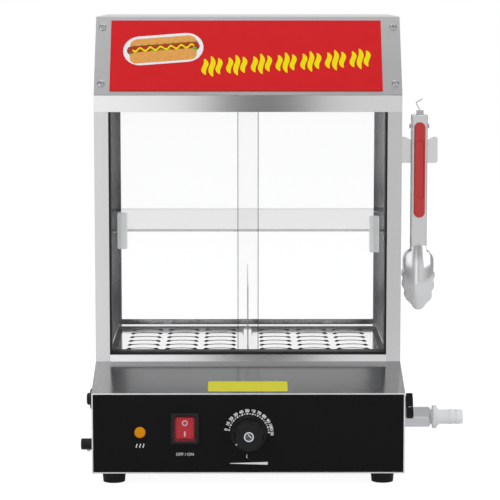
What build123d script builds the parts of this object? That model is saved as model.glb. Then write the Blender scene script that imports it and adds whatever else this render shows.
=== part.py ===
from build123d import *
import math
import os

# Countertop hot dog steamer. Millimetres, X to the right, Y to the back, Z up, feet on Z = 0.

# ---- Whole cabinet ----
BODY_WIDTH = 365.0
BODY_DEPTH = 366.0
FOOT_HEIGHT = 14.0
CONTROL_TOP = 109.0          # top of the upright control front
BASE_TOP = 132.0             # top of the base, where the glass cabinet stands
CABINET_SETBACK = 84.0       # depth of the sloping ledge in front of the cabinet
RAIL_TOP = 451.3             # bend line between header rail and sloping sign
RAIL_HEIGHT = 20.3
ROOF = 542.4
SIGN_RUN = 59.0              # depth the sloping sign takes up

# ---- Sheet metal ----
BASE_SHEET = 1.5
SHEET = 1.2
TRAY_SHEET = 1.0
SEAT = 0.3                   # gap round pieces that are fixed in a clearance hole
RUNNING = 0.05               # radial gap of turning fits
SLIDING = 0.5                # side gap of the glass doors in their tracks

# ---- Base ----
PANEL_RECESS = 0.5
PANEL_SHEET = 1.5
PANEL_FLANGE = 8.0
FLOOR_FLANGE = 15.0
TOP_FLANGE = 12.5
LEDGE_RETURN = 12.0
FOOT_RADIUS = 14.0
FOOT_TAPER = 1.2
FOOT_INSET = 24.5
FOOT_COUNTERBORE = 5.5
FOOT_COUNTERBORE_DEPTH = 6.0
FOOT_SCREW_RADIUS = 2.0
FOOT_NUT_RADIUS = 4.0
FOOT_NUT_HEIGHT = 3.2
THREAD_END = 1.0             # thread beyond a nut or a seat
FLOOR_SCREW_SPACING = 117.5
FLOOR_SCREW_INSET = 15.0
SCREW_HEAD_RADIUS = 3.8
SCREW_HEAD_HEIGHT = 2.2
SCREW_RADIUS = 1.8
SCREW_LENGTH = 7.0
DECK_DROP = 4.0              # deck plate lies this far under the base top

# ---- Cabinet ----
PILLAR_WIDTH = 17.0
REAR_FLANGE = 16.0
SIDE_FOOT_FLANGE = 12.0
ROOF_FLANGE = 10.0
BOTTOM_RAIL_HEIGHT = 8.2
RAIL_SHELF_DEPTH = 21.5
REAR_OPENING_RISE = 8.4      # above the base top
REAR_OPENING_MARGIN = 15.5
REAR_RING_RISE = 4.7         # above the bend line
REAR_GLASS_OVERLAP = 5.0
GLASS = 4.0
CLIP_WIDTH = 15.0
CLIP_SPACING = 106.0

# ---- Sliding doors ----
TRACK_HEIGHT = 5.8
TRACK_SUNK = 2.6             # part of the track that stands behind the rail
JAMB_PROUD = 2.2             # side jamb seen beyond the pillar
TRACK_GROOVE = 3.8
UPPER_TRACK_RISE = 7.0       # above the header rail's lower edge
UPPER_GROOVE_DEPTH = 9.0
FRONT_PANE_SETBACK = 4.0
PANE_GAP = 6.0
DOOR_SIDE_GAP = 9.3          # shut pane's edge to the side wall
DOOR_OVERLAP = 25.0
DOOR_ENGAGE = 5.0            # height of pane held in the upper track
DOOR_LIFT = 0.1
HANDLE_WIDTH = 11.5
HANDLE_HEIGHT = 43.5
HANDLE_THICK = 4.5
HANDLE_INSET = 16.0
LEFT_HANDLE_RISE = 156.5     # above the base top
RIGHT_HANDLE_RISE = 153.5
HANDLE_GRIP_DEPTH = 1.6
HANDLE_RIBS = 5

# ---- Sign ----
SIGN_LEFT_MARGIN = 18.5
SIGN_RIGHT_MARGIN = 23.0
SIGN_TOP_MARGIN = 6.3
SIGN_BOTTOM_MARGIN = 5.2
SIGN_THICK = 1.5
SIGN_SCREW_MARGIN = 8.0
SIGN_SCREW_INSET = 15.0
SIGN_SCREW_HEAD = 4.6
SIGN_SCREW_HEIGHT = 2.4

# ---- Water tank, element and drain ----
TANK_SIDE_GAP = 21.0         # room beside the tank for the fittings in the side walls
TANK_FRONT_GAP = 7.5         # behind the bottom rail's shelf
TANK_BACK_GAP = 33.0
TANK_DEPTH = 70.0
TANK_LIP = 12.0
TANK_CORNER = 12.0
ELEMENT_RADIUS = 4.0
ELEMENT_RISE = 14.0          # above the tank's floor
ELEMENT_BEND = 15.0
ELEMENT_INNER_X = 60.0
ELEMENT_SIDE_GAP = 30.0      # to the tank's walls
ELEMENT_ENTRY_X = 12.0
ELEMENT_FRONT_GAP = 20.0
ELEMENT_MIDDLE_GAP = 60.0
ELEMENT_BACK_GAP = 35.0
ELEMENT_NUT = 8.0
ELEMENT_NUT_THICK = 5.0
ELEMENT_TERMINAL = 22.0
DRAIN_Y = 17.0
DRAIN_DROP = 16.7            # below the tank's floor
DRAIN_INSET = 11.0
DRAIN_RADIUS = 8.0
DRAIN_BORE = 6.0
DRAIN_BEND = 9.5
DRAIN_FLANGE = 10.0
DRAIN_FLANGE_THICK = 2.0

# ---- Drain valve ----
VALVE_GAP = 1.5              # to the side wall
VALVE_LENGTH = 44.5
VALVE_FLATS = 24.6
VALVE_STEM_PLACE = 18.5      # from the valve's inner end
VALVE_TILT = 8.0             # turn of the hexagon about the pipe, in degrees
HEX_FACE_LEAN = 30.0         # lean of the hexagon's upper face before that turn
VALVE_CHAMFER = 2.0
VALVE_EDGE_CUT = 0.375       # turned off the hexagon's edges
BALL_RADIUS = 9.0
BALL_BORE = 5.0
STEM_RADIUS = 4.0
STEM_TOP = 20.5
VALVE_THREAD_BORE = 8.3
VALVE_THREAD_DEPTH = 9.0
LEVER_BOTTOM = 13.2
LEVER_THICK = 2.0
LEVER_LENGTH = 21.75
LEVER_TAIL = 9.0
LEVER_ROUND = 1.5
HUB_RADIUS = 5.0
HUB_HEIGHT = 6.4
HUB_START = -10.2            # black sleeve over the stem, along the lever
HUB_END = 2.6
GRIP_START = 5.8
GRIP_HALF_WIDTH = 4.2
GRIP_HALF_THICK = 3.0

# ---- Hose barb ----
BARB_SHOULDER = 2.2          # collar between the valve and the flange
BARB_SHOULDER_RADIUS = 9.3
BARB_SEAT_GAP = 1.2
BARB_FLANGE_THICK = 4.8
BARB_FLANGE_RADIUS = 14.4
BARB_COLLAR = 2.7
BARB_COLLAR_RADIUS = 11.2
BARB_STEM = 13.9
BARB_STEM_RADIUS = 9.0
BARB_RADIUS = 9.6
BARB_ROOT = 8.5
BARB_BORE = 5.5
BARB_TEETH = 2
BARB_TOOTH = 8.2
BARB_NECK = 8.0

# ---- Controls ----
LAMP_MARGIN = 56.3           # from the left side wall
LAMP_Z = 63.0
LAMP_LENS = 6.5
LAMP_LENS_DEPTH = 3.6
LAMP_STEM = 4.6
LAMP_BODY = 6.6
LAMP_BODY_DEPTH = 18.0
SWITCH_MARGIN = 108.6        # from the left side wall
SWITCH_Z = 67.8
SWITCH_BEZEL_WIDTH = 33.0
SWITCH_BEZEL_HEIGHT = 37.0
SWITCH_BEZEL_THICK = 1.7
SWITCH_BEZEL_CORNER = 3.0
SWITCH_BODY_WIDTH = 24.0
SWITCH_BODY_HEIGHT = 28.0
SWITCH_BODY_DEPTH = 21.0
ROCKER_WIDTH = 19.6
ROCKER_HEIGHT = 23.6
ROCKER_GAP = 0.7
ROCKER_PIVOT_DEPTH = 2.7     # pivot behind the bezel face
ROCKER_PROUD = 2.8
ROCKER_DISH = 1.3
ROCKER_TILT = 7.0
ROCKER_PIN = 1.5
BOOT_WIDTH = 25.4
BOOT_HEIGHT = 29.5
BOOT_PROUD = 7.0
BOOT_WALL = 1.0
BOOT_RIM = 3.0
BOOT_RIM_THICK = 0.8
BOOT_CORNER = 3.5
TERMINAL_WIDTH = 6.3
TERMINAL_THICK = 0.8
TERMINAL_LENGTH = 8.0
DIAL_X = 0.6
DIAL_Z = 61.4
SPINDLE_RADIUS = 3.0
SPINDLE_FLAT = 1.0
KNOB_SKIRT = 21.4
KNOB_SKIRT_THICK = 2.6
KNOB_BASE = 18.0
KNOB_FACE = 15.6
KNOB_DEPTH = 20.0
KNOB_STANDOFF = 1.0
KNOB_FACE_ROUND = 1.8
KNOB_CAP_RADIUS = 5.9
KNOB_CAP_POCKET = 4.0
KNOB_CAP_SLOT = 1.6
KNOB_CAP_TURN = -45.0        # slot, in degrees from level
KNOB_BORE_DEPTH = 12.0
THERMOSTAT_WIDTH = 38.0
THERMOSTAT_HEIGHT = 44.0
THERMOSTAT_DEPTH = 26.0
THERMOSTAT_BOSS = 4.6
THERMOSTAT_GAP = 4.0
CAPILLARY_RISE = 6.3         # outlet above the thermostat's middle
CAPILLARY_RADIUS = 1.0
CAPILLARY_HOLE = 1.6
CAPILLARY_BEND = 8.0
BULB_RADIUS = 3.2
BULB_LENGTH = 80.0
BULB_RISE = 30.0             # above the tank's floor
BULB_STANDOFF = 12.0

# ---- Fittings on the left side ----
GLAND_SETBACK = 150.0        # from the front
GLAND_Z = 74.0
GLAND_FLANGE = 12.7
GLAND_FLANGE_THICK = 11.5
GLAND_BODY = 7.5
GLAND_PROUD = 15.8
GLAND_BORE = 4.5
GLAND_NUT_THICK = 5.0
LIMIT_SETBACK = 80.0
LIMIT_Z = 32.2
LIMIT_BODY = 9.0
LIMIT_BODY_DEPTH = 16.0
LIMIT_NECK = 4.0
CAP_FLANGE = 9.0
CAP_FLANGE_THICK = 3.0
CAP_RADIUS = 6.8
CAP_PROUD = 18.3
CAP_WALL = 1.5
GLAND_EDGE = 1.5
STUD_SETBACK = 100.0
STUD_Z = 23.5
STUD_RADIUS = 2.5
STUD_PROUD = 15.0
STUD_NUT_FLATS = 8.0
STUD_NUT_THICK = 4.0
STUD_TIP = 2.5               # thread left showing beyond the outer nut
BLOCK_MARGIN = 62.5          # from the left side wall
BLOCK_SETBACK = 53.0
BLOCK_WAYS = 3
BLOCK_PITCH = 12.0
BLOCK_WIDTH = 20.0
BLOCK_HEIGHT = 14.0
BLOCK_NOTCH = 1.0            # gap between the ways
BLOCK_WEB = 1.5
BLOCK_SCREW_HOLE = 2.5

# ---- Interior ----
SHELF_RISE = 157.0           # above the base top
SHELF_FRONT_GAP = 2.5        # behind the door tracks
SHELF_REAR_GAP = 1.3         # behind the shelf, to the rear pane
SHELF_SIDE_GAP = 2.3
SHELF_GLASS = 3.0
SHELF_EDGE = 0.5
FRONT_TAB_REACH = 24.0
REAR_TAB_REACH = 15.5
TAB_DEPTH = 16.0
TAB_LEG = 14.0
TAB_CORNER = 4.0
GRATE_HALF_GAP = 5.8
GRATE_OVERLAP = 3.0          # bearing of a grate on the tank flange
GRATE_FRONT_GAP = 1.0        # behind the door tracks
GRATE_BACK_OVERLAP = 4.0
GRATE_TOP_RISE = 2.5         # above the tank flange
SLOT_COLUMNS = 3
SLOT_INNER_MARGIN = 11.1
SLOT_OUTER_MARGIN = 8.5
SLOT_COLUMN_GAP = 6.3
SLOT_ROWS = 8
SLOT_FRONT_MARGIN = 9.5
SLOT_BACK_MARGIN = 11.0
SLOT_RISE = 9.5
SLOT_END = 3.6
SLOT_MIDDLE = 1.5
CENTER_BASE_HALF = 14.0
CENTER_HAT_HALF = 5.0
CENTER_HAT_HEIGHT = 4.0
DIVIDER_GAP = 0.3
DIVIDER_HEIGHT = 88.0

# ---- Tongs and their holder ----
TONGS_REACH = 30.0           # from the right side wall
TONGS_Y = 20.0
TONGS_SHEET = 1.0
ARM_HALF_WIDTH = 9.7
ARM_HALF_SPREAD = 10.0
ARM_TOP = 421.0
ARM_FLANGE = 3.5
ARM_FLANGE_BOTTOM = 268.0
EAR_BOTTOM = 390.2
EAR_RADIUS = 7.0
EAR_GAP = 0.3
PIVOT_Z = 407.0
PIN_RADIUS = 2.0
PIN_LENGTH = 24.5
PIN_HEAD = 3.2
PIN_HEAD_THICK = 1.2
TONGS_GRIP_TOP = 412.0
TONGS_GRIP_BOTTOM = 294.0
TONGS_GRIP_HALF = 6.9
TONGS_GRIP_THICK = 4.0
TONGS_GRIP_ROUND = 1.5
THUMB_REST_TOP = 390.0
THUMB_REST_BOTTOM = 318.0
THUMB_REST_MARGIN = 1.9
THUMB_REST_DEPTH = 0.9
HEAD_TOP = 260.0
HEAD_BOTTOM = 178.5
HEAD_HALF_WIDTH = 20.2
HEAD_SHOULDER = 253.0
HEAD_SHOULDER_ROUND = 13.0
HEAD_CROSS_RADIUS = 30.3
HEAD_LONG_RADIUS = 106.0
SCALLOP_RADIUS = 8.5
SCALLOP_PITCH = 13.0         # along the rim
SCALLOP_PAIRS = 3
SCALLOP_DEPTH = 1.7
RIM_STEPS = 40
SPRING_WIRE = 0.6
SPRING_RADIUS = 3.6
SPRING_COILS = 7
SPRING_PITCH = 1.6
SPRING_LEG = 26.0
PULL_HALF_WIDTH = 4.5
PULL_BOTTOM = 396.0
PULL_TOP = 427.0
WIRE_RADIUS = 0.6
WIRE_ROOT = 4.0
WIRE_BEND_Z = 436.0
WIRE_BEND_OUT = 5.2
WIRE_TIP_Z = 441.0
WIRE_TIP_OUT = 3.1
WIRE_ROUND = 1.6
HOLDER_SHEET = 1.5
HOLDER_REACH = 53.0
HOLDER_TOP = 393.7
HOLDER_BOTTOM = 361.0
SADDLE_Z = 389.9
SADDLE_HALF = 10.6
SADDLE_RAMP = 7.0
HOLDER_CORNER = 6.0
HOLDER_FLANGE = 14.0
HOLDER_SCREW_SPACING = 18.0

# ---- Worked out from the sizes above ----
HALF = BODY_WIDTH / 2
FRONT = -BODY_DEPTH / 2
BACK = BODY_DEPTH / 2
CAB_FRONT = FRONT + CABINET_SETBACK
BASE_INNER = HALF - BASE_SHEET
TANK_HALF_WIDTH = BASE_INNER - TANK_SIDE_GAP
GRATE_OUTER_X = TANK_HALF_WIDTH + GRATE_OVERLAP
RAIL_BOTTOM = RAIL_TOP - RAIL_HEIGHT
REAR_RING_TOP = RAIL_TOP + REAR_RING_RISE
UPPER_TRACK_BOTTOM = RAIL_BOTTOM + UPPER_TRACK_RISE
DOOR_TOP = UPPER_TRACK_BOTTOM + DOOR_ENGAGE
PAST_FRONT = FRONT - BASE_SHEET
PAST_FOOT = FOOT_HEIGHT - BASE_SHEET
CAB_INNER = HALF - SHEET
SIGN_BACK = CAB_FRONT + SIGN_RUN
SIGN_LEFT = -HALF + SIGN_LEFT_MARGIN
SIGN_RIGHT = HALF - SIGN_RIGHT_MARGIN
SIGN_SCREW_X = HALF - SIGN_SCREW_MARGIN
DECK_TOP = BASE_TOP - DECK_DROP
DECK_BOTTOM = DECK_TOP - BASE_SHEET
TANK_RIM = DECK_TOP + TRAY_SHEET
FLOOR_TOP = FOOT_HEIGHT + BASE_SHEET
PANEL_FACE = FRONT + PANEL_RECESS
PANEL_BACK = PANEL_FACE + PANEL_SHEET
BOTTOM_RAIL_TOP = BASE_TOP + BOTTOM_RAIL_HEIGHT
RAIL_SHELF_BACK = CAB_FRONT + RAIL_SHELF_DEPTH
REAR_OPENING_BOTTOM = BASE_TOP + REAR_OPENING_RISE
REAR_OPENING_HALF = HALF - REAR_OPENING_MARGIN
TANK_FRONT = RAIL_SHELF_BACK + TANK_FRONT_GAP
TANK_BACK = BACK - TANK_BACK_GAP
TANK_BOTTOM = DECK_TOP - TANK_DEPTH
ELEMENT_Z = TANK_BOTTOM + ELEMENT_RISE
ELEMENT_OUTER_X = TANK_HALF_WIDTH - ELEMENT_SIDE_GAP
ELEMENT_FRONT = TANK_FRONT + ELEMENT_FRONT_GAP
ELEMENT_MIDDLE = TANK_FRONT + ELEMENT_MIDDLE_GAP
ELEMENT_BACK = TANK_BACK - ELEMENT_BACK_GAP
BULB_Z = TANK_BOTTOM + BULB_RISE
DRAIN_Z = TANK_BOTTOM - DRAIN_DROP
DRAIN_X = TANK_HALF_WIDTH - DRAIN_INSET
VALVE_START = HALF + VALVE_GAP
VALVE_END = VALVE_START + VALVE_LENGTH
VALVE_CENTER_X = VALVE_START + VALVE_STEM_PLACE
BARB_START = VALVE_END + BARB_SEAT_GAP
BARB_FLANGE_START = BARB_START + BARB_SHOULDER
BARB_FLANGE_END = BARB_FLANGE_START + BARB_FLANGE_THICK
BARB_COLLAR_END = BARB_FLANGE_END + BARB_COLLAR
BARB_STEM_END = BARB_COLLAR_END + BARB_STEM
BARB_END = BARB_STEM_END + BARB_TEETH * BARB_TOOTH
LAMP_X = -HALF + LAMP_MARGIN
SWITCH_X = -HALF + SWITCH_MARGIN
GLAND_Y = FRONT + GLAND_SETBACK
LIMIT_Y = FRONT + LIMIT_SETBACK
STUD_Y = FRONT + STUD_SETBACK
BLOCK_X = -HALF + BLOCK_MARGIN
BLOCK_Y = FRONT + BLOCK_SETBACK
SHELF_TOP = BASE_TOP + SHELF_RISE
SHELF_FRONT = RAIL_SHELF_BACK + SHELF_FRONT_GAP
LEFT_HANDLE_Z = BASE_TOP + LEFT_HANDLE_RISE
RIGHT_HANDLE_Z = BASE_TOP + RIGHT_HANDLE_RISE
GRATE_FRONT = RAIL_SHELF_BACK + GRATE_FRONT_GAP
GRATE_BACK = TANK_BACK + GRATE_BACK_OVERLAP
SLOT_COLUMN_PITCH = (GRATE_OUTER_X - SLOT_INNER_MARGIN - SLOT_OUTER_MARGIN) / SLOT_COLUMNS
SLOT_COLUMN_START = SLOT_INNER_MARGIN + SLOT_COLUMN_PITCH / 2
SLOT_CHORD = SLOT_COLUMN_PITCH - SLOT_COLUMN_GAP
SLOT_ROW_START = GRATE_FRONT + SLOT_FRONT_MARGIN
SLOT_ROW_PITCH = (GRATE_BACK - SLOT_BACK_MARGIN - SLOT_ROW_START) / (SLOT_ROWS - 1)
DIVIDER_TOP = TANK_RIM + TRAY_SHEET + DIVIDER_HEIGHT
TONGS_X = HALF + TONGS_REACH
HOLDER_END = HALF + HOLDER_REACH
TRACK_SEAT = BOTTOM_RAIL_TOP - TRACK_SUNK
TRACK_TOP = TRACK_SEAT + TRACK_HEIGHT
JAMB_INNER = HALF - PILLAR_WIDTH - JAMB_PROUD
DOOR_BOTTOM = TRACK_TOP - TRACK_GROOVE + DOOR_LIFT
FRONT_PANE = CAB_FRONT + FRONT_PANE_SETBACK
REAR_PANE = FRONT_PANE + GLASS + PANE_GAP
DOOR_EDGE = CAB_INNER - DOOR_SIDE_GAP
DOOR_WIDTH = DOOR_EDGE + DOOR_OVERLAP / 2
BEZEL_FACE = PANEL_FACE - SWITCH_BEZEL_THICK
ROCKER_Y = BEZEL_FACE + ROCKER_PIVOT_DEPTH
ROCKER_POCKET_HALF = ROCKER_HEIGHT / 2 + ROCKER_GAP
KNOB_BACK = PANEL_FACE - KNOB_STANDOFF
KNOB_FRONT = KNOB_BACK - KNOB_DEPTH
THERMOSTAT_FRONT = PANEL_BACK + THERMOSTAT_GAP
REAR_RING_BACK = BACK - SHEET
REAR_GLASS_BACK = REAR_RING_BACK - SHEET
SHELF_BACK = REAR_GLASS_BACK - GLASS - SHELF_REAR_GAP
SLOPE = math.atan2(ROOF - RAIL_TOP, SIGN_RUN)
SLANT = math.hypot(ROOF - RAIL_TOP, SIGN_RUN)
RAIL_SEAM = RAIL_TOP - SHEET * math.cos(SLOPE)
RAIL_SHELF = RAIL_SEAM - SHEET
LEVER_LEAN = HEX_FACE_LEAN + VALVE_TILT
VALVE_AXIS = Vector(0, -math.cos(math.radians(LEVER_LEAN)), math.sin(math.radians(LEVER_LEAN)))
LEVER_AXIS = Vector(0, math.sin(math.radians(LEVER_LEAN)), math.cos(math.radians(LEVER_LEAN)))
EAR_OUTER = ARM_HALF_WIDTH - TONGS_SHEET
PULL_FRONT = TONGS_Y - ARM_HALF_SPREAD + TONGS_SHEET
HEAD_LONG_MAJOR = HEAD_LONG_RADIUS - HEAD_CROSS_RADIUS
HEAD_MID_Z = (HEAD_TOP + HEAD_BOTTOM) / 2
SCREW_PAIRS = (-1, 1)


# ---- Shapes used again and again ----
def span(x0, x1, y0, y1, z0, z1):
    """Block between two corners."""
    middle = Pos((x0 + x1) / 2, (y0 + y1) / 2, (z0 + z1) / 2)
    return middle * Box(x1 - x0, y1 - y0, z1 - z0)


def rod_x(radius, x0, x1, y, z):
    """Round bar along X."""
    return Pos((x0 + x1) / 2, y, z) * Rot(0, 90, 0) * Cylinder(radius, x1 - x0)


def rod_y(radius, y0, y1, x, z):
    """Round bar along Y."""
    return Pos(x, (y0 + y1) / 2, z) * Rot(90, 0, 0) * Cylinder(radius, y1 - y0)


def rod_z(radius, z0, z1, x, y):
    """Round bar along Z."""
    return Pos(x, y, (z0 + z1) / 2) * Cylinder(radius, z1 - z0)


def side_plane(x):
    """Plane across the cabinet, drawn in (Y, Z), that extrudes towards +X."""
    return Plane(origin=(x, 0, 0), x_dir=(0, 1, 0), z_dir=(1, 0, 0))


def front_plane(y):
    """Plane facing the user, drawn in (X, Z), that extrudes towards -Y."""
    return Plane(origin=(0, y, 0), x_dir=(1, 0, 0), z_dir=(0, -1, 0))


def across(points, x0, x1):
    """Prism along X of a closed outline in (Y, Z)."""
    return extrude(side_plane(x0) * make_face(Polyline(*points, close=True)), x1 - x0)


def upright(face, y0, y1):
    """Prism along Y of a flat shape in (X, Z)."""
    return extrude(front_plane(y1) * face, y1 - y0)


def rounded(width, height, radius, x, z):
    """Rounded rectangle in (X, Z)."""
    return Pos(x, z) * RectangleRounded(width, height, radius)


def folded(line, thickness, x0, x1):
    """Sheet folded along a line in (Y, Z), its thickness on the line's left."""
    spine = [Vector(*point) for point in line]
    runs = [(b - a).normalized() for a, b in zip(spine, spine[1:])]
    sides = [Vector(-run.Y, run.X) for run in runs]
    inner = [spine[0] + sides[0] * thickness]
    for corner, before, after in zip(spine[1:], sides, sides[1:]):
        inner.append(corner + (before + after) * (thickness / (1 + before.dot(after))))
    inner.append(spine[-1] + sides[-1] * thickness)
    outline = [(point.X, point.Y) for point in spine + inner[::-1]]
    return across(outline, x0, x1)


def tube(points, radius, bend):
    """Round bar along a bent line."""
    path = FilletPolyline(*points, radius=bend)
    start = Plane(origin=path @ 0, z_dir=path % 0)
    return sweep(start * Circle(radius), path=path)


def pan_screw(length):
    """Pan head screw whose head stands on the plane Z = 0, the shank going down."""
    head = Pos(0, 0, SCREW_HEAD_HEIGHT / 2) * Cylinder(SCREW_HEAD_RADIUS, SCREW_HEAD_HEIGHT)
    rim = head.edges().group_by(Axis.Z)[-1]
    head = fillet(rim, SCREW_HEAD_HEIGHT / 2)
    return head + rod_z(SCREW_RADIUS, -length, 0, 0, 0)


# ---- Base ----
def base_outline():
    """Side outline of the base with its sloping ledge."""
    return [(FRONT, FOOT_HEIGHT), (FRONT, CONTROL_TOP), (CAB_FRONT, BASE_TOP),
            (BACK, BASE_TOP), (BACK, FOOT_HEIGHT)]


def base_shell():
    """Folded base: ledge, sides and back, open in front and below."""
    outer = across(base_outline(), -HALF, HALF)
    ledge_drop = BASE_SHEET / math.cos(math.atan2(BASE_TOP - CONTROL_TOP, CABINET_SETBACK))
    hollow = [(PAST_FRONT, PAST_FOOT), (PAST_FRONT, CONTROL_TOP - ledge_drop),
              (FRONT, CONTROL_TOP - ledge_drop), (CAB_FRONT, BASE_TOP - ledge_drop),
              (BACK - BASE_SHEET, BASE_TOP - BASE_SHEET), (BACK - BASE_SHEET, PAST_FOOT)]
    return outer - across(hollow, -BASE_INNER, BASE_INNER)


def panel_flange():
    """Frame that the control panel is screwed against."""
    back = PANEL_BACK + BASE_SHEET
    top = CONTROL_TOP - BASE_SHEET
    outer = span(-BASE_INNER, BASE_INNER, PANEL_BACK, back, FLOOR_TOP, top)
    inner = span(-BASE_INNER + PANEL_FLANGE, BASE_INNER - PANEL_FLANGE, PANEL_BACK, back,
                 FLOOR_TOP, top - PANEL_FLANGE)
    return outer - inner


def floor_flange():
    """Turned-in lip that the floor is screwed to."""
    front = PANEL_BACK + BASE_SHEET
    back = BACK - BASE_SHEET
    top = FLOOR_TOP + BASE_SHEET
    outer = span(-BASE_INNER, BASE_INNER, front, back, FLOOR_TOP, top)
    inner = span(-BASE_INNER + FLOOR_FLANGE, BASE_INNER - FLOOR_FLANGE,
                 front + FLOOR_FLANGE, back - FLOOR_FLANGE, FLOOR_TOP, top)
    return outer - inner


def floor_screw_places():
    """Centres of the screws that hold the floor."""
    reach = -FRONT - FLOOR_SCREW_INSET
    return [(x, y) for x in (-FLOOR_SCREW_SPACING, 0, FLOOR_SCREW_SPACING) for y in (-reach, reach)]


def make_base_housing():
    """Stainless base with ledge, open top and holes for the side fittings."""
    body = base_shell()
    back_edge = BACK - TOP_FLANGE
    body -= span(-HALF + TOP_FLANGE, HALF - TOP_FLANGE, CAB_FRONT, back_edge, DECK_TOP, ROOF)
    body += span(-BASE_INNER, BASE_INNER, CAB_FRONT - BASE_SHEET, CAB_FRONT,
                 BASE_TOP - LEDGE_RETURN, BASE_TOP - BASE_SHEET)
    body += panel_flange()
    body += floor_flange()
    for x, y in floor_screw_places():
        body -= rod_z(SCREW_RADIUS + SEAT, FLOOR_TOP, FLOOR_TOP + BASE_SHEET, x, y)
    body -= rod_x(DRAIN_RADIUS + SEAT, BASE_INNER, HALF, DRAIN_Y, DRAIN_Z)
    body -= rod_x(GLAND_BODY + SEAT, -HALF, -BASE_INNER, GLAND_Y, GLAND_Z)
    body -= rod_x(LIMIT_NECK + SEAT, -HALF, -BASE_INNER, LIMIT_Y, LIMIT_Z)
    body -= rod_x(STUD_RADIUS + SEAT, -HALF, -BASE_INNER, STUD_Y, STUD_Z)
    return body


def foot_places():
    """Centres of the four feet."""
    x = HALF - FOOT_INSET
    y = BACK - FOOT_INSET
    return [(sx * x, sy * y) for sx in SCREW_PAIRS for sy in SCREW_PAIRS]


def make_base_floor():
    """Bottom plate whose front edge shows as the lower rim of the panel."""
    floor = span(-BASE_INNER, BASE_INNER, FRONT, BACK - BASE_SHEET, FOOT_HEIGHT, FLOOR_TOP)
    for x, y in foot_places():
        floor -= rod_z(FOOT_SCREW_RADIUS + SEAT, FOOT_HEIGHT, FLOOR_TOP, x, y)
    for x, y in floor_screw_places():
        floor -= rod_z(SCREW_RADIUS + SEAT, FOOT_HEIGHT, FLOOR_TOP, x, y)
    return floor


def make_deck_plate():
    """Plate round the tank that closes the top of the base."""
    front = CAB_FRONT
    plate = span(-BASE_INNER, BASE_INNER, front, BACK - BASE_SHEET, DECK_BOTTOM, DECK_TOP)
    return plate - span(-TANK_HALF_WIDTH - SEAT, TANK_HALF_WIDTH + SEAT, TANK_FRONT - SEAT,
                        TANK_BACK + SEAT, DECK_BOTTOM, DECK_TOP)


def make_control_panel():
    """Black front plate with its cut-outs."""
    top = CONTROL_TOP - BASE_SHEET
    panel = span(-BASE_INNER, BASE_INNER, PANEL_FACE, PANEL_BACK, FLOOR_TOP, top)
    panel -= rod_y(LAMP_STEM + SEAT, PANEL_FACE, PANEL_BACK, LAMP_X, LAMP_Z)
    panel -= rod_y(THERMOSTAT_BOSS + SEAT, PANEL_FACE, PANEL_BACK, DIAL_X, DIAL_Z)
    wide = SWITCH_BODY_WIDTH / 2 + SEAT
    tall = SWITCH_BODY_HEIGHT / 2 + SEAT
    return panel - span(SWITCH_X - wide, SWITCH_X + wide, PANEL_FACE, PANEL_BACK,
                        SWITCH_Z - tall, SWITCH_Z + tall)


def make_rubber_feet():
    """Four tapered feet with a recess for the screw head."""
    feet = []
    for x, y in foot_places():
        foot = Pos(x, y, FOOT_HEIGHT / 2) * Cone(FOOT_RADIUS - FOOT_TAPER, FOOT_RADIUS, FOOT_HEIGHT)
        foot -= rod_z(FOOT_COUNTERBORE, 0, FOOT_COUNTERBORE_DEPTH, x, y)
        foot -= rod_z(FOOT_SCREW_RADIUS + SEAT, 0, FOOT_HEIGHT, x, y)
        feet.append(foot)
    return Compound(feet)


def make_foot_screws():
    """Screws through the feet, each with a nut on the floor."""
    screws = []
    head_z = FOOT_COUNTERBORE_DEPTH - SCREW_HEAD_HEIGHT
    for x, y in foot_places():
        screw = rod_z(SCREW_HEAD_RADIUS, head_z, FOOT_COUNTERBORE_DEPTH, x, y)
        screw += rod_z(FOOT_SCREW_RADIUS, head_z, FLOOR_TOP + FOOT_NUT_HEIGHT + THREAD_END, x, y)
        nut = Pos(x, y, FLOOR_TOP) * extrude(RegularPolygon(FOOT_NUT_RADIUS, 6), FOOT_NUT_HEIGHT)
        screws.append(screw + nut)
    return Compound(screws)


def make_pan_head_screws():
    """Screws of the floor, and the two that hold the tongs holder."""
    screws = []
    for x, y in floor_screw_places():
        screws.append(Pos(x, y, FOOT_HEIGHT) * Rot(180, 0, 0) * pan_screw(SCREW_LENGTH))
    for z in holder_screw_heights():
        face = HALF + HOLDER_SHEET
        place = Pos(face, holder_screw_y(), z) * Rot(0, 90, 0)
        screws.append(place * pan_screw(SCREW_LENGTH))
    return Compound(screws)


# ---- Controls ----
def terminals(x, z, y):
    """Two blade terminals pointing to the back."""
    half = TERMINAL_WIDTH / 2
    blades = []
    for side in SCREW_PAIRS:
        middle = z + side * TERMINAL_WIDTH
        blades.append(span(x - half, x + half, y, y + TERMINAL_LENGTH,
                           middle, middle + TERMINAL_THICK))
    return blades


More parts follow.
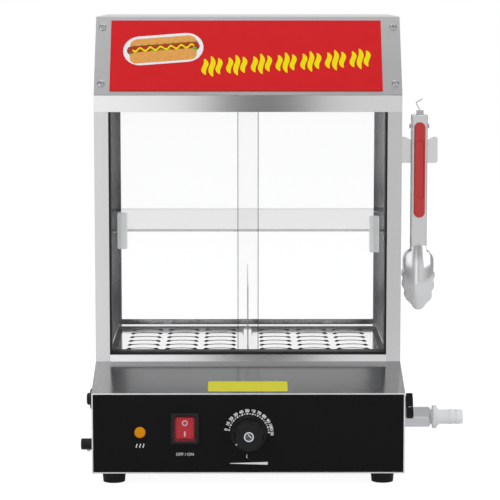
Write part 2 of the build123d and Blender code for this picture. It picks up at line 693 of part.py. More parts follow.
def make_power_switch_body():
    """Rocker switch case: bezel on the panel, hollow box behind it."""
    bezel = upright(rounded(SWITCH_BEZEL_WIDTH, SWITCH_BEZEL_HEIGHT, SWITCH_BEZEL_CORNER,
                            SWITCH_X, SWITCH_Z), BEZEL_FACE, PANEL_FACE)
    wide = SWITCH_BODY_WIDTH / 2
    tall = SWITCH_BODY_HEIGHT / 2
    case = span(SWITCH_X - wide, SWITCH_X + wide, PANEL_FACE, PANEL_FACE + SWITCH_BODY_DEPTH,
                SWITCH_Z - tall, SWITCH_Z + tall)
    pocket_wide = ROCKER_WIDTH / 2 + SEAT
    pocket_back = ROCKER_Y + ROCKER_POCKET_HALF
    pocket = span(SWITCH_X - pocket_wide, SWITCH_X + pocket_wide, BEZEL_FACE, pocket_back,
                  SWITCH_Z - ROCKER_POCKET_HALF, SWITCH_Z + ROCKER_POCKET_HALF)
    body = bezel + case - pocket
    body -= rod_x(ROCKER_PIN + RUNNING, SWITCH_X - wide, SWITCH_X + wide, ROCKER_Y, SWITCH_Z)
    for blade in terminals(SWITCH_X, SWITCH_Z, PANEL_FACE + SWITCH_BODY_DEPTH):
        body += blade
    return body


def make_power_switch_rocker():
    """Rocker pressed at its upper end, on its two pivot pins."""
    half = ROCKER_HEIGHT / 2
    front = -ROCKER_PIVOT_DEPTH - ROCKER_PROUD
    outline = Polyline((0, half), (front, half), (front + ROCKER_DISH, 0), (front, -half), (0, -half))
    belly = ThreePointArc((0, -half), (half, 0), (0, half))
    profile = make_face(outline + belly)
    wide = ROCKER_WIDTH / 2
    rocker = extrude(side_plane(-wide) * profile, ROCKER_WIDTH)
    rocker += rod_x(ROCKER_PIN, -SWITCH_BODY_WIDTH / 2, SWITCH_BODY_WIDTH / 2, 0, 0)
    return Pos(SWITCH_X, ROCKER_Y, SWITCH_Z) * Rot(-ROCKER_TILT, 0, 0) * rocker


def make_switch_boot():
    """Clear splash cover over the rocker."""
    front = BEZEL_FACE - BOOT_PROUD
    rim = upright(rounded(BOOT_WIDTH + 2 * BOOT_RIM, BOOT_HEIGHT + 2 * BOOT_RIM, BOOT_CORNER,
                          SWITCH_X, SWITCH_Z), BEZEL_FACE - BOOT_RIM_THICK, BEZEL_FACE)
    dome = upright(rounded(BOOT_WIDTH, BOOT_HEIGHT, BOOT_CORNER, SWITCH_X, SWITCH_Z),
                   front, BEZEL_FACE)
    dome = fillet(dome.faces().sort_by(Axis.Y)[0].edges(), BOOT_WALL)
    inner = upright(rounded(BOOT_WIDTH - 2 * BOOT_WALL, BOOT_HEIGHT - 2 * BOOT_WALL,
                            BOOT_CORNER - BOOT_WALL, SWITCH_X, SWITCH_Z),
                    front + BOOT_WALL, BEZEL_FACE)
    return rim + dome - inner


def make_pilot_lamp_body():
    """Lamp holder behind the panel."""
    end = PANEL_BACK + LAMP_BODY_DEPTH
    body = rod_y(LAMP_BODY, PANEL_BACK, end, LAMP_X, LAMP_Z)
    body -= rod_y(LAMP_STEM + SEAT, PANEL_BACK, end - LAMP_STEM, LAMP_X, LAMP_Z)
    for blade in terminals(LAMP_X, LAMP_Z - TERMINAL_THICK, end):
        body += blade
    return body


def make_pilot_lamp_lens():
    """Domed amber lens with a stem through the panel."""
    lens = rod_y(LAMP_LENS, PANEL_FACE - LAMP_LENS_DEPTH, PANEL_FACE, LAMP_X, LAMP_Z)
    lens = fillet(lens.faces().sort_by(Axis.Y)[0].edges(), LAMP_LENS_DEPTH / 2)
    return lens + rod_y(LAMP_STEM, PANEL_FACE, PANEL_BACK + LAMP_STEM, LAMP_X, LAMP_Z)


def make_thermostat_body():
    """Capillary thermostat behind the panel, with a boss that carries the spindle."""
    wide = THERMOSTAT_WIDTH / 2
    tall = THERMOSTAT_HEIGHT / 2
    end = THERMOSTAT_FRONT + THERMOSTAT_DEPTH
    body = span(DIAL_X - wide, DIAL_X + wide, THERMOSTAT_FRONT, end, DIAL_Z - tall, DIAL_Z + tall)
    body += rod_y(THERMOSTAT_BOSS, PANEL_FACE, THERMOSTAT_FRONT, DIAL_X, DIAL_Z)
    for side in SCREW_PAIRS:
        x = DIAL_X + side * (wide - THERMOSTAT_GAP)
        body += rod_y(THERMOSTAT_GAP, PANEL_BACK, THERMOSTAT_FRONT, x, DIAL_Z)
    return body - rod_y(SPINDLE_RADIUS + RUNNING, PANEL_FACE, end - THERMOSTAT_BOSS, DIAL_X, DIAL_Z)


def make_thermostat_spindle():
    """Spindle with a flat where the knob sits."""
    tip = KNOB_BACK - KNOB_BORE_DEPTH
    end = THERMOSTAT_FRONT + THERMOSTAT_DEPTH - THERMOSTAT_BOSS
    spindle = rod_y(SPINDLE_RADIUS, tip, end - SEAT, DIAL_X, DIAL_Z)
    return spindle - span(DIAL_X - SPINDLE_RADIUS, DIAL_X + SPINDLE_RADIUS, tip, KNOB_BACK,
                          DIAL_Z + SPINDLE_RADIUS - SPINDLE_FLAT, DIAL_Z + SPINDLE_RADIUS)


def make_thermostat_knob():
    """Turned knob: thin skirt, tapered barrel, recess for the metal cap."""
    barrel_back = KNOB_BACK - KNOB_SKIRT_THICK
    skirt = rod_y(KNOB_SKIRT, barrel_back, KNOB_BACK, DIAL_X, DIAL_Z)
    skirt = chamfer(skirt.faces().sort_by(Axis.Y)[0].edges(), KNOB_SKIRT_THICK / 2)
    length = barrel_back - KNOB_FRONT
    barrel = Pos(DIAL_X, (KNOB_FRONT + barrel_back) / 2, DIAL_Z) * Rot(90, 0, 0)
    barrel = barrel * Cone(KNOB_BASE, KNOB_FACE, length)
    barrel = fillet(barrel.faces().sort_by(Axis.Y)[0].edges(), KNOB_FACE_ROUND)
    knob = skirt + barrel
    knob -= rod_y(KNOB_CAP_RADIUS + SEAT, KNOB_FRONT, KNOB_FRONT + KNOB_CAP_POCKET, DIAL_X, DIAL_Z)
    bore = rod_y(SPINDLE_RADIUS + SEAT, KNOB_BACK - KNOB_BORE_DEPTH - SEAT, KNOB_BACK,
                 DIAL_X, DIAL_Z)
    bore -= span(DIAL_X - SPINDLE_RADIUS, DIAL_X + SPINDLE_RADIUS, KNOB_FRONT, KNOB_BACK,
                 DIAL_Z + SPINDLE_RADIUS - SPINDLE_FLAT + SEAT, DIAL_Z + 2 * SPINDLE_RADIUS)
    return knob - bore


def make_knob_cap():
    """Bright slotted screw plug in the knob's face."""
    front = KNOB_FRONT + SEAT
    cap = rod_y(KNOB_CAP_RADIUS, front, KNOB_FRONT + KNOB_CAP_POCKET, DIAL_X, DIAL_Z)
    slot = Pos(0, front, 0) * Box(2 * KNOB_CAP_RADIUS, KNOB_CAP_POCKET, KNOB_CAP_SLOT)
    return cap - Pos(DIAL_X, 0, DIAL_Z) * Rot(0, KNOB_CAP_TURN, 0) * slot


def make_thermostat_capillary():
    """Thin tube from the thermostat to its bulb in the tank."""
    end = THERMOSTAT_FRONT + THERMOSTAT_DEPTH
    bulb_y = TANK_FRONT + BULB_STANDOFF
    bulb_end = DIAL_X + BULB_LENGTH
    far = bulb_end + BULB_STANDOFF
    points = [(DIAL_X, end, DIAL_Z + CAPILLARY_RISE),
              (DIAL_X, end + 2 * BULB_STANDOFF, DIAL_Z + CAPILLARY_RISE),
              (far, end + 2 * BULB_STANDOFF, BULB_Z), (far, bulb_y, BULB_Z), (bulb_end, bulb_y, BULB_Z)]
    line = tube(points, CAPILLARY_RADIUS, CAPILLARY_BEND)
    return line + rod_x(BULB_RADIUS, DIAL_X, bulb_end, bulb_y, BULB_Z)


def make_limit_thermostat():
    """Overheat cut-out inside the left wall."""
    body = rod_x(LIMIT_BODY, -BASE_INNER, -BASE_INNER + LIMIT_BODY_DEPTH, LIMIT_Y, LIMIT_Z)
    return body + rod_x(LIMIT_NECK, -HALF - CAP_FLANGE_THICK - 2 * CAP_WALL, -BASE_INNER,
                        LIMIT_Y, LIMIT_Z)


def make_reset_cap():
    """Black cap over the reset button."""
    cap = rod_x(CAP_FLANGE, -HALF - CAP_FLANGE_THICK, -HALF, LIMIT_Y, LIMIT_Z)
    barrel = rod_x(CAP_RADIUS, -HALF - CAP_PROUD, -HALF, LIMIT_Y, LIMIT_Z)
    barrel = fillet(barrel.faces().sort_by(Axis.X)[0].edges(), CAP_WALL)
    return cap + barrel - rod_x(LIMIT_NECK + SEAT, -HALF - CAP_PROUD + CAP_WALL, -HALF,
                                LIMIT_Y, LIMIT_Z)


def make_terminal_block():
    """Row of screw terminals on the floor."""
    block = None
    for way in range(BLOCK_WAYS):
        x = BLOCK_X + way * BLOCK_PITCH
        cell = span(x, x + BLOCK_PITCH - BLOCK_NOTCH, BLOCK_Y, BLOCK_Y + BLOCK_WIDTH,
                    FLOOR_TOP, FLOOR_TOP + BLOCK_HEIGHT)
        middle = x + BLOCK_PITCH / 2
        cell -= rod_z(BLOCK_SCREW_HOLE, FLOOR_TOP + BLOCK_HEIGHT / 2, FLOOR_TOP + BLOCK_HEIGHT,
                      middle, BLOCK_Y + BLOCK_WIDTH / 2)
        block = cell if block is None else block + cell
    return block + span(BLOCK_X, BLOCK_X + BLOCK_WAYS * BLOCK_PITCH - BLOCK_NOTCH,
                        BLOCK_Y + BLOCK_WIDTH / 4, BLOCK_Y + 3 * BLOCK_WIDTH / 4,
                        FLOOR_TOP, FLOOR_TOP + BLOCK_WEB)


def make_cord_gland():
    """Strain relief in the left wall with a lock nut inside."""
    outer = -HALF - GLAND_FLANGE_THICK
    gland = rod_x(GLAND_BODY, -HALF - GLAND_PROUD, -BASE_INNER + 2 * GLAND_NUT_THICK,
                  GLAND_Y, GLAND_Z)
    gland = chamfer(gland.faces().sort_by(Axis.X)[0].edges(), GLAND_EDGE)
    flange = rod_x(GLAND_FLANGE, outer, -HALF, GLAND_Y, GLAND_Z)
    flange = fillet(flange.faces().sort_by(Axis.X)[0].edges(), GLAND_EDGE)
    nut = side_plane(-BASE_INNER) * Pos(GLAND_Y, GLAND_Z) * RegularPolygon(GLAND_FLANGE, 6)
    gland += flange + extrude(nut, GLAND_NUT_THICK)
    return gland - rod_x(GLAND_BORE, -HALF - GLAND_PROUD, -BASE_INNER + 2 * GLAND_NUT_THICK,
                         GLAND_Y, GLAND_Z)


def stud_nut(x):
    """Hexagon nut on the earth stud."""
    outline = RegularPolygon(STUD_NUT_FLATS / 2, 6, major_radius=False)
    return extrude(side_plane(x) * Pos(STUD_Y, STUD_Z) * outline, STUD_NUT_THICK)


def make_ground_stud():
    """Equipotential stud with nuts on both sides of the wall."""
    outer = -HALF - STUD_PROUD
    stud = rod_x(STUD_RADIUS, outer, -BASE_INNER + 2 * STUD_NUT_THICK, STUD_Y, STUD_Z)
    stud += stud_nut(-HALF - STUD_NUT_THICK)
    stud += stud_nut(-HALF - STUD_PROUD + STUD_TIP)
    return stud + stud_nut(-BASE_INNER)


# ---- Tank, element and drain ----
def make_water_tank():
    """Deep drawn tank that hangs by its lip on the deck."""
    wall = TRAY_SHEET
    depth = TANK_BACK - TANK_FRONT
    middle = (TANK_FRONT + TANK_BACK) / 2
    outer = RectangleRounded(2 * TANK_HALF_WIDTH, depth, TANK_CORNER)
    inner = RectangleRounded(2 * (TANK_HALF_WIDTH - wall), depth - 2 * wall, TANK_CORNER - wall)
    tank = Pos(0, middle, TANK_BOTTOM) * extrude(outer, TANK_RIM - TANK_BOTTOM)
    lip = Rectangle(2 * (TANK_HALF_WIDTH + TANK_LIP), depth + 2 * TANK_LIP)
    tank += Pos(0, middle, DECK_TOP) * extrude(lip, wall)
    tank -= Pos(0, middle, TANK_BOTTOM + wall) * extrude(inner, TANK_RIM - TANK_BOTTOM)
    tank -= rod_z(DRAIN_BORE, TANK_BOTTOM, TANK_BOTTOM + wall, DRAIN_X, DRAIN_Y)
    for side in SCREW_PAIRS:
        tank -= rod_y(ELEMENT_RADIUS + SEAT, TANK_FRONT, TANK_FRONT + wall,
                      side * ELEMENT_ENTRY_X, ELEMENT_Z)
    return tank - rod_y(CAPILLARY_HOLE, TANK_FRONT, TANK_FRONT + wall,
                        DIAL_X + BULB_LENGTH + BULB_STANDOFF, BULB_Z)


def element_half():
    """Right half of the element's run, from its entry to the middle of its front bow."""
    entry = TANK_FRONT - ELEMENT_TERMINAL
    return [(ELEMENT_ENTRY_X, entry), (ELEMENT_ENTRY_X, ELEMENT_FRONT),
            (ELEMENT_OUTER_X, ELEMENT_FRONT), (ELEMENT_OUTER_X, ELEMENT_BACK),
            (ELEMENT_INNER_X, ELEMENT_BACK), (ELEMENT_INNER_X, ELEMENT_MIDDLE)]


def make_heating_element():
    """Tubular immersion element with sealing nuts in the tank's front wall."""
    right = [(x, y, ELEMENT_Z) for x, y in element_half()]
    left = [(-x, y, ELEMENT_Z) for x, y in element_half()[::-1]]
    element = tube(right + left, ELEMENT_RADIUS, ELEMENT_BEND)
    for side in SCREW_PAIRS:
        x = side * ELEMENT_ENTRY_X
        inside = TANK_FRONT + TRAY_SHEET
        element += rod_y(ELEMENT_NUT, inside, inside + ELEMENT_NUT_THICK, x, ELEMENT_Z)
        hexagon = upright(Pos(x, ELEMENT_Z) * RegularPolygon(ELEMENT_NUT, 6),
                          TANK_FRONT - ELEMENT_NUT_THICK, TANK_FRONT)
        element += hexagon
        tip = TANK_FRONT - ELEMENT_TERMINAL
        element += rod_y(CAPILLARY_HOLE, tip - TERMINAL_LENGTH, tip, x, ELEMENT_Z)
    return element


def make_drain_pipe():
    """Elbow from the tank floor out through the right wall."""
    points = [(DRAIN_X, DRAIN_Y, TANK_BOTTOM), (DRAIN_X, DRAIN_Y, DRAIN_Z),
              (VALVE_START, DRAIN_Y, DRAIN_Z)]
    pipe = tube(points, DRAIN_RADIUS, DRAIN_BEND)
    pipe += rod_z(DRAIN_FLANGE, TANK_BOTTOM - DRAIN_FLANGE_THICK, TANK_BOTTOM, DRAIN_X, DRAIN_Y)
    return pipe - tube(points, DRAIN_BORE, DRAIN_BEND)


# ---- Drain valve ----
def valve_plane(height):
    """Plane square to the valve stem: drawn in (X, lever direction)."""
    origin = Vector(VALVE_CENTER_X, DRAIN_Y, DRAIN_Z) + VALVE_AXIS * height
    return Plane(origin=origin, x_dir=(1, 0, 0), z_dir=VALVE_AXIS)


def along_stem(radius, start, end):
    """Round bar on the stem's axis."""
    return extrude(valve_plane(start) * Circle(radius), end - start)


def make_drain_valve_body():
    """Hexagonal ball valve body with an edge towards the user."""
    hexagon = RegularPolygon(VALVE_FLATS / 2, 6, major_radius=False)
    hexagon = Pos(DRAIN_Y, DRAIN_Z) * Rot(0, 0, -VALVE_TILT) * hexagon
    body = extrude(side_plane(VALVE_START) * hexagon, VALVE_END - VALVE_START)
    turned = rod_x(VALVE_FLATS / math.sqrt(3) - VALVE_EDGE_CUT, VALVE_START, VALVE_END,
                   DRAIN_Y, DRAIN_Z)
    body = body & chamfer(turned.edges().filter_by(GeomType.CIRCLE), VALVE_CHAMFER)
    body -= rod_x(DRAIN_BORE, VALVE_START, VALVE_END, DRAIN_Y, DRAIN_Z)
    body -= rod_x(VALVE_THREAD_BORE, VALVE_END - VALVE_THREAD_DEPTH, VALVE_END, DRAIN_Y, DRAIN_Z)
    body -= Pos(VALVE_CENTER_X, DRAIN_Y, DRAIN_Z) * Sphere(BALL_RADIUS + RUNNING)
    return body - along_stem(STEM_RADIUS + RUNNING, 0, VALVE_FLATS)


def make_drain_valve_ball():
    """Bored ball, turned shut, with its stem."""
    ball = Pos(VALVE_CENTER_X, DRAIN_Y, DRAIN_Z) * Sphere(BALL_RADIUS)
    bore_plane = Plane(origin=(VALVE_CENTER_X, DRAIN_Y, DRAIN_Z), z_dir=LEVER_AXIS)
    ball -= extrude(bore_plane * Circle(BALL_BORE), BALL_RADIUS, both=True)
    return ball + along_stem(STEM_RADIUS, BALL_BORE + THREAD_END, STEM_TOP)


def along_lever(start, end, half_width, corner):
    """Rounded strip drawn on the valve plane, its long way along the lever."""
    return Pos(0, (start + end) / 2) * RectangleRounded(2 * half_width, end - start, corner)


def make_drain_valve_lever():
    """Flat steel lever on the stem."""
    strip = along_lever(-LEVER_TAIL, LEVER_LENGTH, HUB_RADIUS, LEVER_ROUND)
    lever = extrude(valve_plane(LEVER_BOTTOM) * strip, LEVER_THICK)
    return lever - along_stem(STEM_RADIUS + SEAT, LEVER_BOTTOM, LEVER_BOTTOM + LEVER_THICK)


def make_drain_lever_grip():
    """Two black sleeves of the lever: one over the stem and one for the finger."""
    start = LEVER_BOTTOM + LEVER_THICK
    hub = along_lever(HUB_START, HUB_END, GRIP_HALF_WIDTH, LEVER_ROUND)
    hub = extrude(valve_plane(start) * hub, HUB_HEIGHT)
    hub -= along_stem(STEM_RADIUS + SEAT, start, STEM_TOP + SEAT)
    outline = along_lever(GRIP_START, LEVER_LENGTH + LEVER_ROUND / 2, GRIP_HALF_WIDTH, LEVER_ROUND)
    grip = extrude(valve_plane(start) * outline, 2 * GRIP_HALF_THICK)
    return Compound([hub, grip])


def barb_outline():
    """Half section of the hose tail in (X, radius)."""
    inner_end = VALVE_END - VALVE_THREAD_DEPTH + THREAD_END
    points = [(inner_end, BARB_BORE), (BARB_END, BARB_BORE), (BARB_END, BARB_ROOT)]
    start = BARB_END
    for _ in range(BARB_TEETH):
        points.append((start - BARB_TOOTH, BARB_RADIUS))
        points.append((start - BARB_TOOTH, BARB_ROOT))
        start -= BARB_TOOTH
    points[-1] = (BARB_STEM_END, BARB_STEM_RADIUS)
    steps = [(BARB_COLLAR_END, BARB_STEM_RADIUS, BARB_COLLAR_RADIUS),
             (BARB_FLANGE_END, BARB_COLLAR_RADIUS, BARB_FLANGE_RADIUS),
             (BARB_FLANGE_START, BARB_FLANGE_RADIUS, BARB_SHOULDER_RADIUS),
             (BARB_START, BARB_SHOULDER_RADIUS, BARB_NECK)]
    for x, before, after in steps:
        points.append((x, before))
        points.append((x, after))
    points.append((inner_end, BARB_NECK))
    return points


def make_hose_barb():
    """White hose tail screwed into the valve."""
    section = make_face(Polyline(*barb_outline(), close=True))
    tail = revolve(Plane.XZ * section, axis=Axis.X)
    return Pos(0, DRAIN_Y, DRAIN_Z) * tail


# ---- Cabinet ----
def cabinet_outline():
    """Side outline under the hood."""
    drop = SHEET / math.cos(SLOPE)
    top = ROOF - SHEET
    notch = CAB_FRONT + SHEET
    slope_foot = RAIL_TOP + SHEET * math.tan(SLOPE) - drop
    slope_head = CAB_FRONT + (top - RAIL_TOP + drop) / math.tan(SLOPE)
    return [(CAB_FRONT, BASE_TOP), (CAB_FRONT, RAIL_BOTTOM), (notch, RAIL_BOTTOM),
            (notch, slope_foot), (slope_head, top), (BACK, top), (BACK, BASE_TOP)]


def make_cabinet_side(side):
    """Side wall with its front pillar, rear flange, roof flange and foot flange."""
    low, high = sorted((side * CAB_INNER, side * HALF))
    wall = across(cabinet_outline(), low, high)
    low, high = sorted((side * HALF, side * (HALF - PILLAR_WIDTH)))
    pillar = span(low, high, CAB_FRONT, CAB_FRONT + SHEET, BASE_TOP, RAIL_BOTTOM)
    low, high = sorted((side * HALF, side * (HALF - REAR_FLANGE)))
    rear = span(low, high, BACK - SHEET, BACK, BASE_TOP, ROOF - SHEET)
    low, high = sorted((side * HALF, side * (HALF - SIDE_FOOT_FLANGE)))
    foot = span(low, high, CAB_FRONT + SHEET, BACK, BASE_TOP, BASE_TOP + SHEET)
    low, high = sorted((side * HALF, side * (HALF - ROOF_FLANGE)))
    roof = span(low, high, SIGN_BACK + SHEET, BACK, ROOF - 2 * SHEET, ROOF - SHEET)
    wall += pillar
    wall += rear
    wall += foot
    wall += roof
    if side > 0:
        for z in holder_screw_heights():
            wall -= rod_x(SCREW_RADIUS + SEAT, CAB_INNER, HALF, holder_screw_y(), z)
    return wall


def make_top_rail():
    """Header rail over the doors."""
    face = span(-HALF, HALF, CAB_FRONT, CAB_FRONT + SHEET, RAIL_BOTTOM, RAIL_SEAM)
    return face + span(-CAB_INNER, CAB_INNER, CAB_FRONT, RAIL_SHELF_BACK, RAIL_SHELF, RAIL_SEAM)


def make_bottom_rail():
    """Rail between the pillars under the doors, with its shelf for the track."""
    low = DECK_TOP
    inner = HALF - PILLAR_WIDTH
    rail = span(-inner, inner, CAB_FRONT, CAB_FRONT + SHEET, low, BOTTOM_RAIL_TOP)
    return rail + span(-CAB_INNER + SEAT, CAB_INNER - SEAT, CAB_FRONT + SHEET, RAIL_SHELF_BACK,
                       TRACK_SEAT - SHEET, TRACK_SEAT)


def pane_grooves(z0, z1, half):
    """Space that both panes take between their tracks and jambs."""
    grooves = None
    for front in (FRONT_PANE, REAR_PANE):
        groove = span(-half, half, front - SLIDING, front + GLASS + SLIDING, z0, z1)
        grooves = groove if grooves is None else grooves + groove
    return grooves


def make_door_track_lower():
    """Black track with two grooves."""
    half = CAB_INNER - SEAT
    track = span(-half, half, CAB_FRONT + SHEET, RAIL_SHELF_BACK, TRACK_SEAT, TRACK_TOP)
    return track - pane_grooves(TRACK_TOP - TRACK_GROOVE, TRACK_TOP, half)


def make_door_track_upper():
    """Deep grooved track under the header rail's shelf."""
    half = CAB_INNER - SEAT
    track = span(-half, half, CAB_FRONT + SHEET, RAIL_SHELF_BACK, UPPER_TRACK_BOTTOM, RAIL_SHELF)
    return track - pane_grooves(UPPER_TRACK_BOTTOM, UPPER_TRACK_BOTTOM + UPPER_GROOVE_DEPTH, half)


def make_door_jambs():
    """Black grooved strips behind the pillars, where the shut doors end."""
    outer = CAB_INNER - SEAT
    bar = span(-outer, outer, CAB_FRONT + SHEET, RAIL_SHELF_BACK, TRACK_TOP, UPPER_TRACK_BOTTOM)
    bar -= pane_grooves(TRACK_TOP, UPPER_TRACK_BOTTOM, DOOR_EDGE + SLIDING)
    bar -= span(-JAMB_INNER, JAMB_INNER, CAB_FRONT, BACK, TRACK_TOP, UPPER_TRACK_BOTTOM)
    return Compound(bar.solids())


def make_hood():
    """Sloping sign board, roof and upper back in one folded sheet."""
    line = [(BACK + SHEET, RAIL_BOTTOM), (BACK + SHEET, ROOF), (SIGN_BACK, ROOF),
            (CAB_FRONT, RAIL_TOP)]
    return folded(line, SHEET, -HALF, HALF)


def on_slope(distance):
    """Point of the sloping board's surface, measured up the slope."""
    return (CAB_FRONT + distance * math.cos(SLOPE), RAIL_TOP + distance * math.sin(SLOPE))


def slope_plane(x, distance):
    """Plane on the sloping board, its local Y up the slope."""
    y, z = on_slope(distance)
    return Plane(origin=(x, y, z), x_dir=(1, 0, 0),
                 z_dir=(0, -math.sin(SLOPE), math.cos(SLOPE)))


def make_sign_panel():
    """Red plate on the sloping board."""
    height = SLANT - SIGN_TOP_MARGIN - SIGN_BOTTOM_MARGIN
    middle = SIGN_BOTTOM_MARGIN + height / 2
    plane = slope_plane((SIGN_LEFT + SIGN_RIGHT) / 2, middle)
    return extrude(plane * Rectangle(SIGN_RIGHT - SIGN_LEFT, height), SIGN_THICK)


def make_sign_screws():
    """Four pan head screws beside the red plate."""
    screws = []
    for x in (-SIGN_SCREW_X, SIGN_SCREW_X):
        for distance in (SIGN_SCREW_INSET, SLANT - SIGN_SCREW_INSET):
            head = extrude(slope_plane(x, distance) * Circle(SIGN_SCREW_HEAD), SIGN_SCREW_HEIGHT)
            screws.append(head)
    return Compound(screws)


def make_rear_frame():
    """Ring behind the rear glass, with clips that hold the pane."""
    low = BASE_TOP + SHEET
    half = REAR_OPENING_HALF
    ring = span(-CAB_INNER, CAB_INNER, REAR_GLASS_BACK, REAR_RING_BACK, low, REAR_RING_TOP)
    ring -= span(-half, half, REAR_GLASS_BACK, REAR_RING_BACK, REAR_OPENING_BOTTOM, RAIL_BOTTOM)
    glass_bottom = REAR_OPENING_BOTTOM - REAR_GLASS_OVERLAP
    glass_front = REAR_GLASS_BACK - GLASS
    for x in (-CLIP_SPACING, 0, CLIP_SPACING):
        ring += span(x - CLIP_WIDTH / 2, x + CLIP_WIDTH / 2, glass_front - SHEET,
                     REAR_GLASS_BACK, glass_bottom - SHEET, glass_bottom)
        ring += span(x - CLIP_WIDTH / 2, x + CLIP_WIDTH / 2, glass_front - SHEET, glass_front,
                     glass_bottom - SHEET, REAR_OPENING_BOTTOM)
    return ring


def make_rear_glass():
    """Fixed rear pane."""
    half = REAR_OPENING_HALF + REAR_GLASS_OVERLAP
    front = REAR_GLASS_BACK - GLASS
    return span(-half, half, front, REAR_GLASS_BACK, REAR_OPENING_BOTTOM - REAR_GLASS_OVERLAP,
                RAIL_BOTTOM + REAR_GLASS_OVERLAP)


# ---- Doors ----
def door_left(side):
    """Left edge of the left or right pane when shut."""
    return -DOOR_EDGE if side < 0 else DOOR_EDGE - DOOR_WIDTH


def make_door_glass(side):
    """Sliding pane: the left one runs in the rear groove, the right one in the front."""
    front = REAR_PANE if side < 0 else FRONT_PANE
    left = door_left(side)
    return span(left, left + DOOR_WIDTH, front, front + GLASS, DOOR_BOTTOM, DOOR_TOP)


def make_door_handle(side):
    """Frosted finger pull stuck on the pane, with ribs to grip."""
    glass_front = REAR_PANE if side < 0 else FRONT_PANE
    outer = glass_front - HANDLE_THICK
    edge = door_left(side) if side < 0 else door_left(side) + DOOR_WIDTH
    middle = edge - side * (HANDLE_INSET + HANDLE_WIDTH / 2)
    z = LEFT_HANDLE_Z if side < 0 else RIGHT_HANDLE_Z
    handle = upright(rounded(HANDLE_WIDTH, HANDLE_HEIGHT, HANDLE_GRIP_DEPTH, middle, z),
                     outer, glass_front)
    pitch = HANDLE_WIDTH / HANDLE_RIBS
    for rib in range(HANDLE_RIBS - 1):
        x = middle - HANDLE_WIDTH / 2 + pitch * (rib + 1)
        handle -= span(x - pitch / 4, x + pitch / 4, outer, outer + HANDLE_GRIP_DEPTH / 2,
                       z - HANDLE_HEIGHT / 2, z + HANDLE_HEIGHT / 2)
    return handle


# ---- Interior ----
def make_bun_shelf():
    """Glass shelf with ground edges."""
    half = CAB_INNER - SHELF_SIDE_GAP
    shelf = span(-half, half, SHELF_FRONT, SHELF_BACK, SHELF_TOP - SHELF_GLASS, SHELF_TOP)
    return chamfer(shelf.edges(), SHELF_EDGE)


def shelf_tab(side, reach, front):
    """Angle tab on a side wall, its flat leg under the shelf, the free corners rounded."""
    top = SHELF_TOP - SHELF_GLASS
    low, high = sorted((side * CAB_INNER, side * (CAB_INNER - SHEET)))
    leg = span(low, high, front, front + TAB_DEPTH, top - TAB_LEG, top)
    low, high = sorted((side * CAB_INNER, side * (CAB_INNER - reach)))
    seat = span(low, high, front, front + TAB_DEPTH, top - SHEET, top)
    tip = seat.edges().filter_by(Axis.Z).sort_by(Axis.X)
    seat = fillet(tip[:2] if side > 0 else tip[2:], TAB_CORNER)
    return leg + seat


def make_shelf_brackets():
    """Four tabs that carry the glass shelf."""
    tabs = []
    for side in SCREW_PAIRS:
        tabs.append(shelf_tab(side, FRONT_TAB_REACH, SHELF_FRONT))
        tabs.append(shelf_tab(side, REAR_TAB_REACH, SHELF_BACK - TAB_DEPTH))
    return Compound(tabs)


def crescent():
    """Arched slot, wide at its feet and thin at its crown, feet on the local X axis."""
    half = SLOT_CHORD / 2
    inner = half - SLOT_END
    outer_arc = ThreePointArc((-half, 0), (0, SLOT_RISE), (half, 0))
    inner_arc = ThreePointArc((inner, 0), (0, SLOT_RISE - SLOT_MIDDLE), (-inner, 0))
    feet = Line((half, 0), (inner, 0)) + Line((-inner, 0), (-half, 0))
    return make_face(outer_arc + inner_arc + feet)


def make_grate(side):
    """Steam plate with rows of arched slots and turned-down rims."""
    top = TANK_RIM + GRATE_TOP_RISE
    bottom = top - SHEET
    low, high = sorted((side * GRATE_HALF_GAP, side * GRATE_OUTER_X))
    plate = span(low, high, GRATE_FRONT, GRATE_BACK, bottom, top)
    sketch = Sketch()
    for column in range(SLOT_COLUMNS):
        x = side * (SLOT_COLUMN_START + column * SLOT_COLUMN_PITCH)
        for row in range(SLOT_ROWS):
            sketch += Pos(x, SLOT_ROW_START + row * SLOT_ROW_PITCH) * crescent()
    plate -= Pos(0, 0, bottom) * extrude(sketch, SHEET)
    low, high = sorted((side * GRATE_OUTER_X, side * (GRATE_OUTER_X - SHEET)))
    plate += span(low, high, GRATE_FRONT, GRATE_BACK, TANK_RIM, bottom)
    low, high = sorted((side * (CENTER_BASE_HALF + SEAT), side * GRATE_OUTER_X))
    plate += span(low, high, GRATE_FRONT, GRATE_FRONT + SHEET, TANK_RIM, bottom)
    return plate + span(low, high, GRATE_BACK - SHEET, GRATE_BACK, TANK_RIM, bottom)


def make_grate_center_rail():
    """Hat-shaped bar between the grates, slotted for the divider."""
    base_top = TANK_RIM + TRAY_SHEET
    top = base_top + CENTER_HAT_HEIGHT
    front = GRATE_FRONT
    inner = CENTER_HAT_HALF - TRAY_SHEET
    slot = TRAY_SHEET / 2 + DIVIDER_GAP
    rail = span(-CENTER_BASE_HALF, CENTER_BASE_HALF, front, GRATE_BACK, TANK_RIM, base_top)
    rail += span(-CENTER_HAT_HALF, CENTER_HAT_HALF, front, GRATE_BACK, base_top, top)
    rail -= span(-inner, inner, front, GRATE_BACK, base_top, top - TRAY_SHEET)
    return rail - span(-slot, slot, front, GRATE_BACK, base_top, top)


def make_divider_plate():
    """Loose plate that parts the two heaps of sausages."""
    half = TRAY_SHEET / 2
    return span(-half, half, TANK_FRONT, TANK_BACK, TANK_RIM + TRAY_SHEET, DIVIDER_TOP)


# ---- Tongs holder ----
def holder_screw_heights():
    """Heights of the two holder screws."""
    middle = (HOLDER_TOP + HOLDER_BOTTOM) / 2
    return (middle - HOLDER_SCREW_SPACING / 2, middle + HOLDER_SCREW_SPACING / 2)


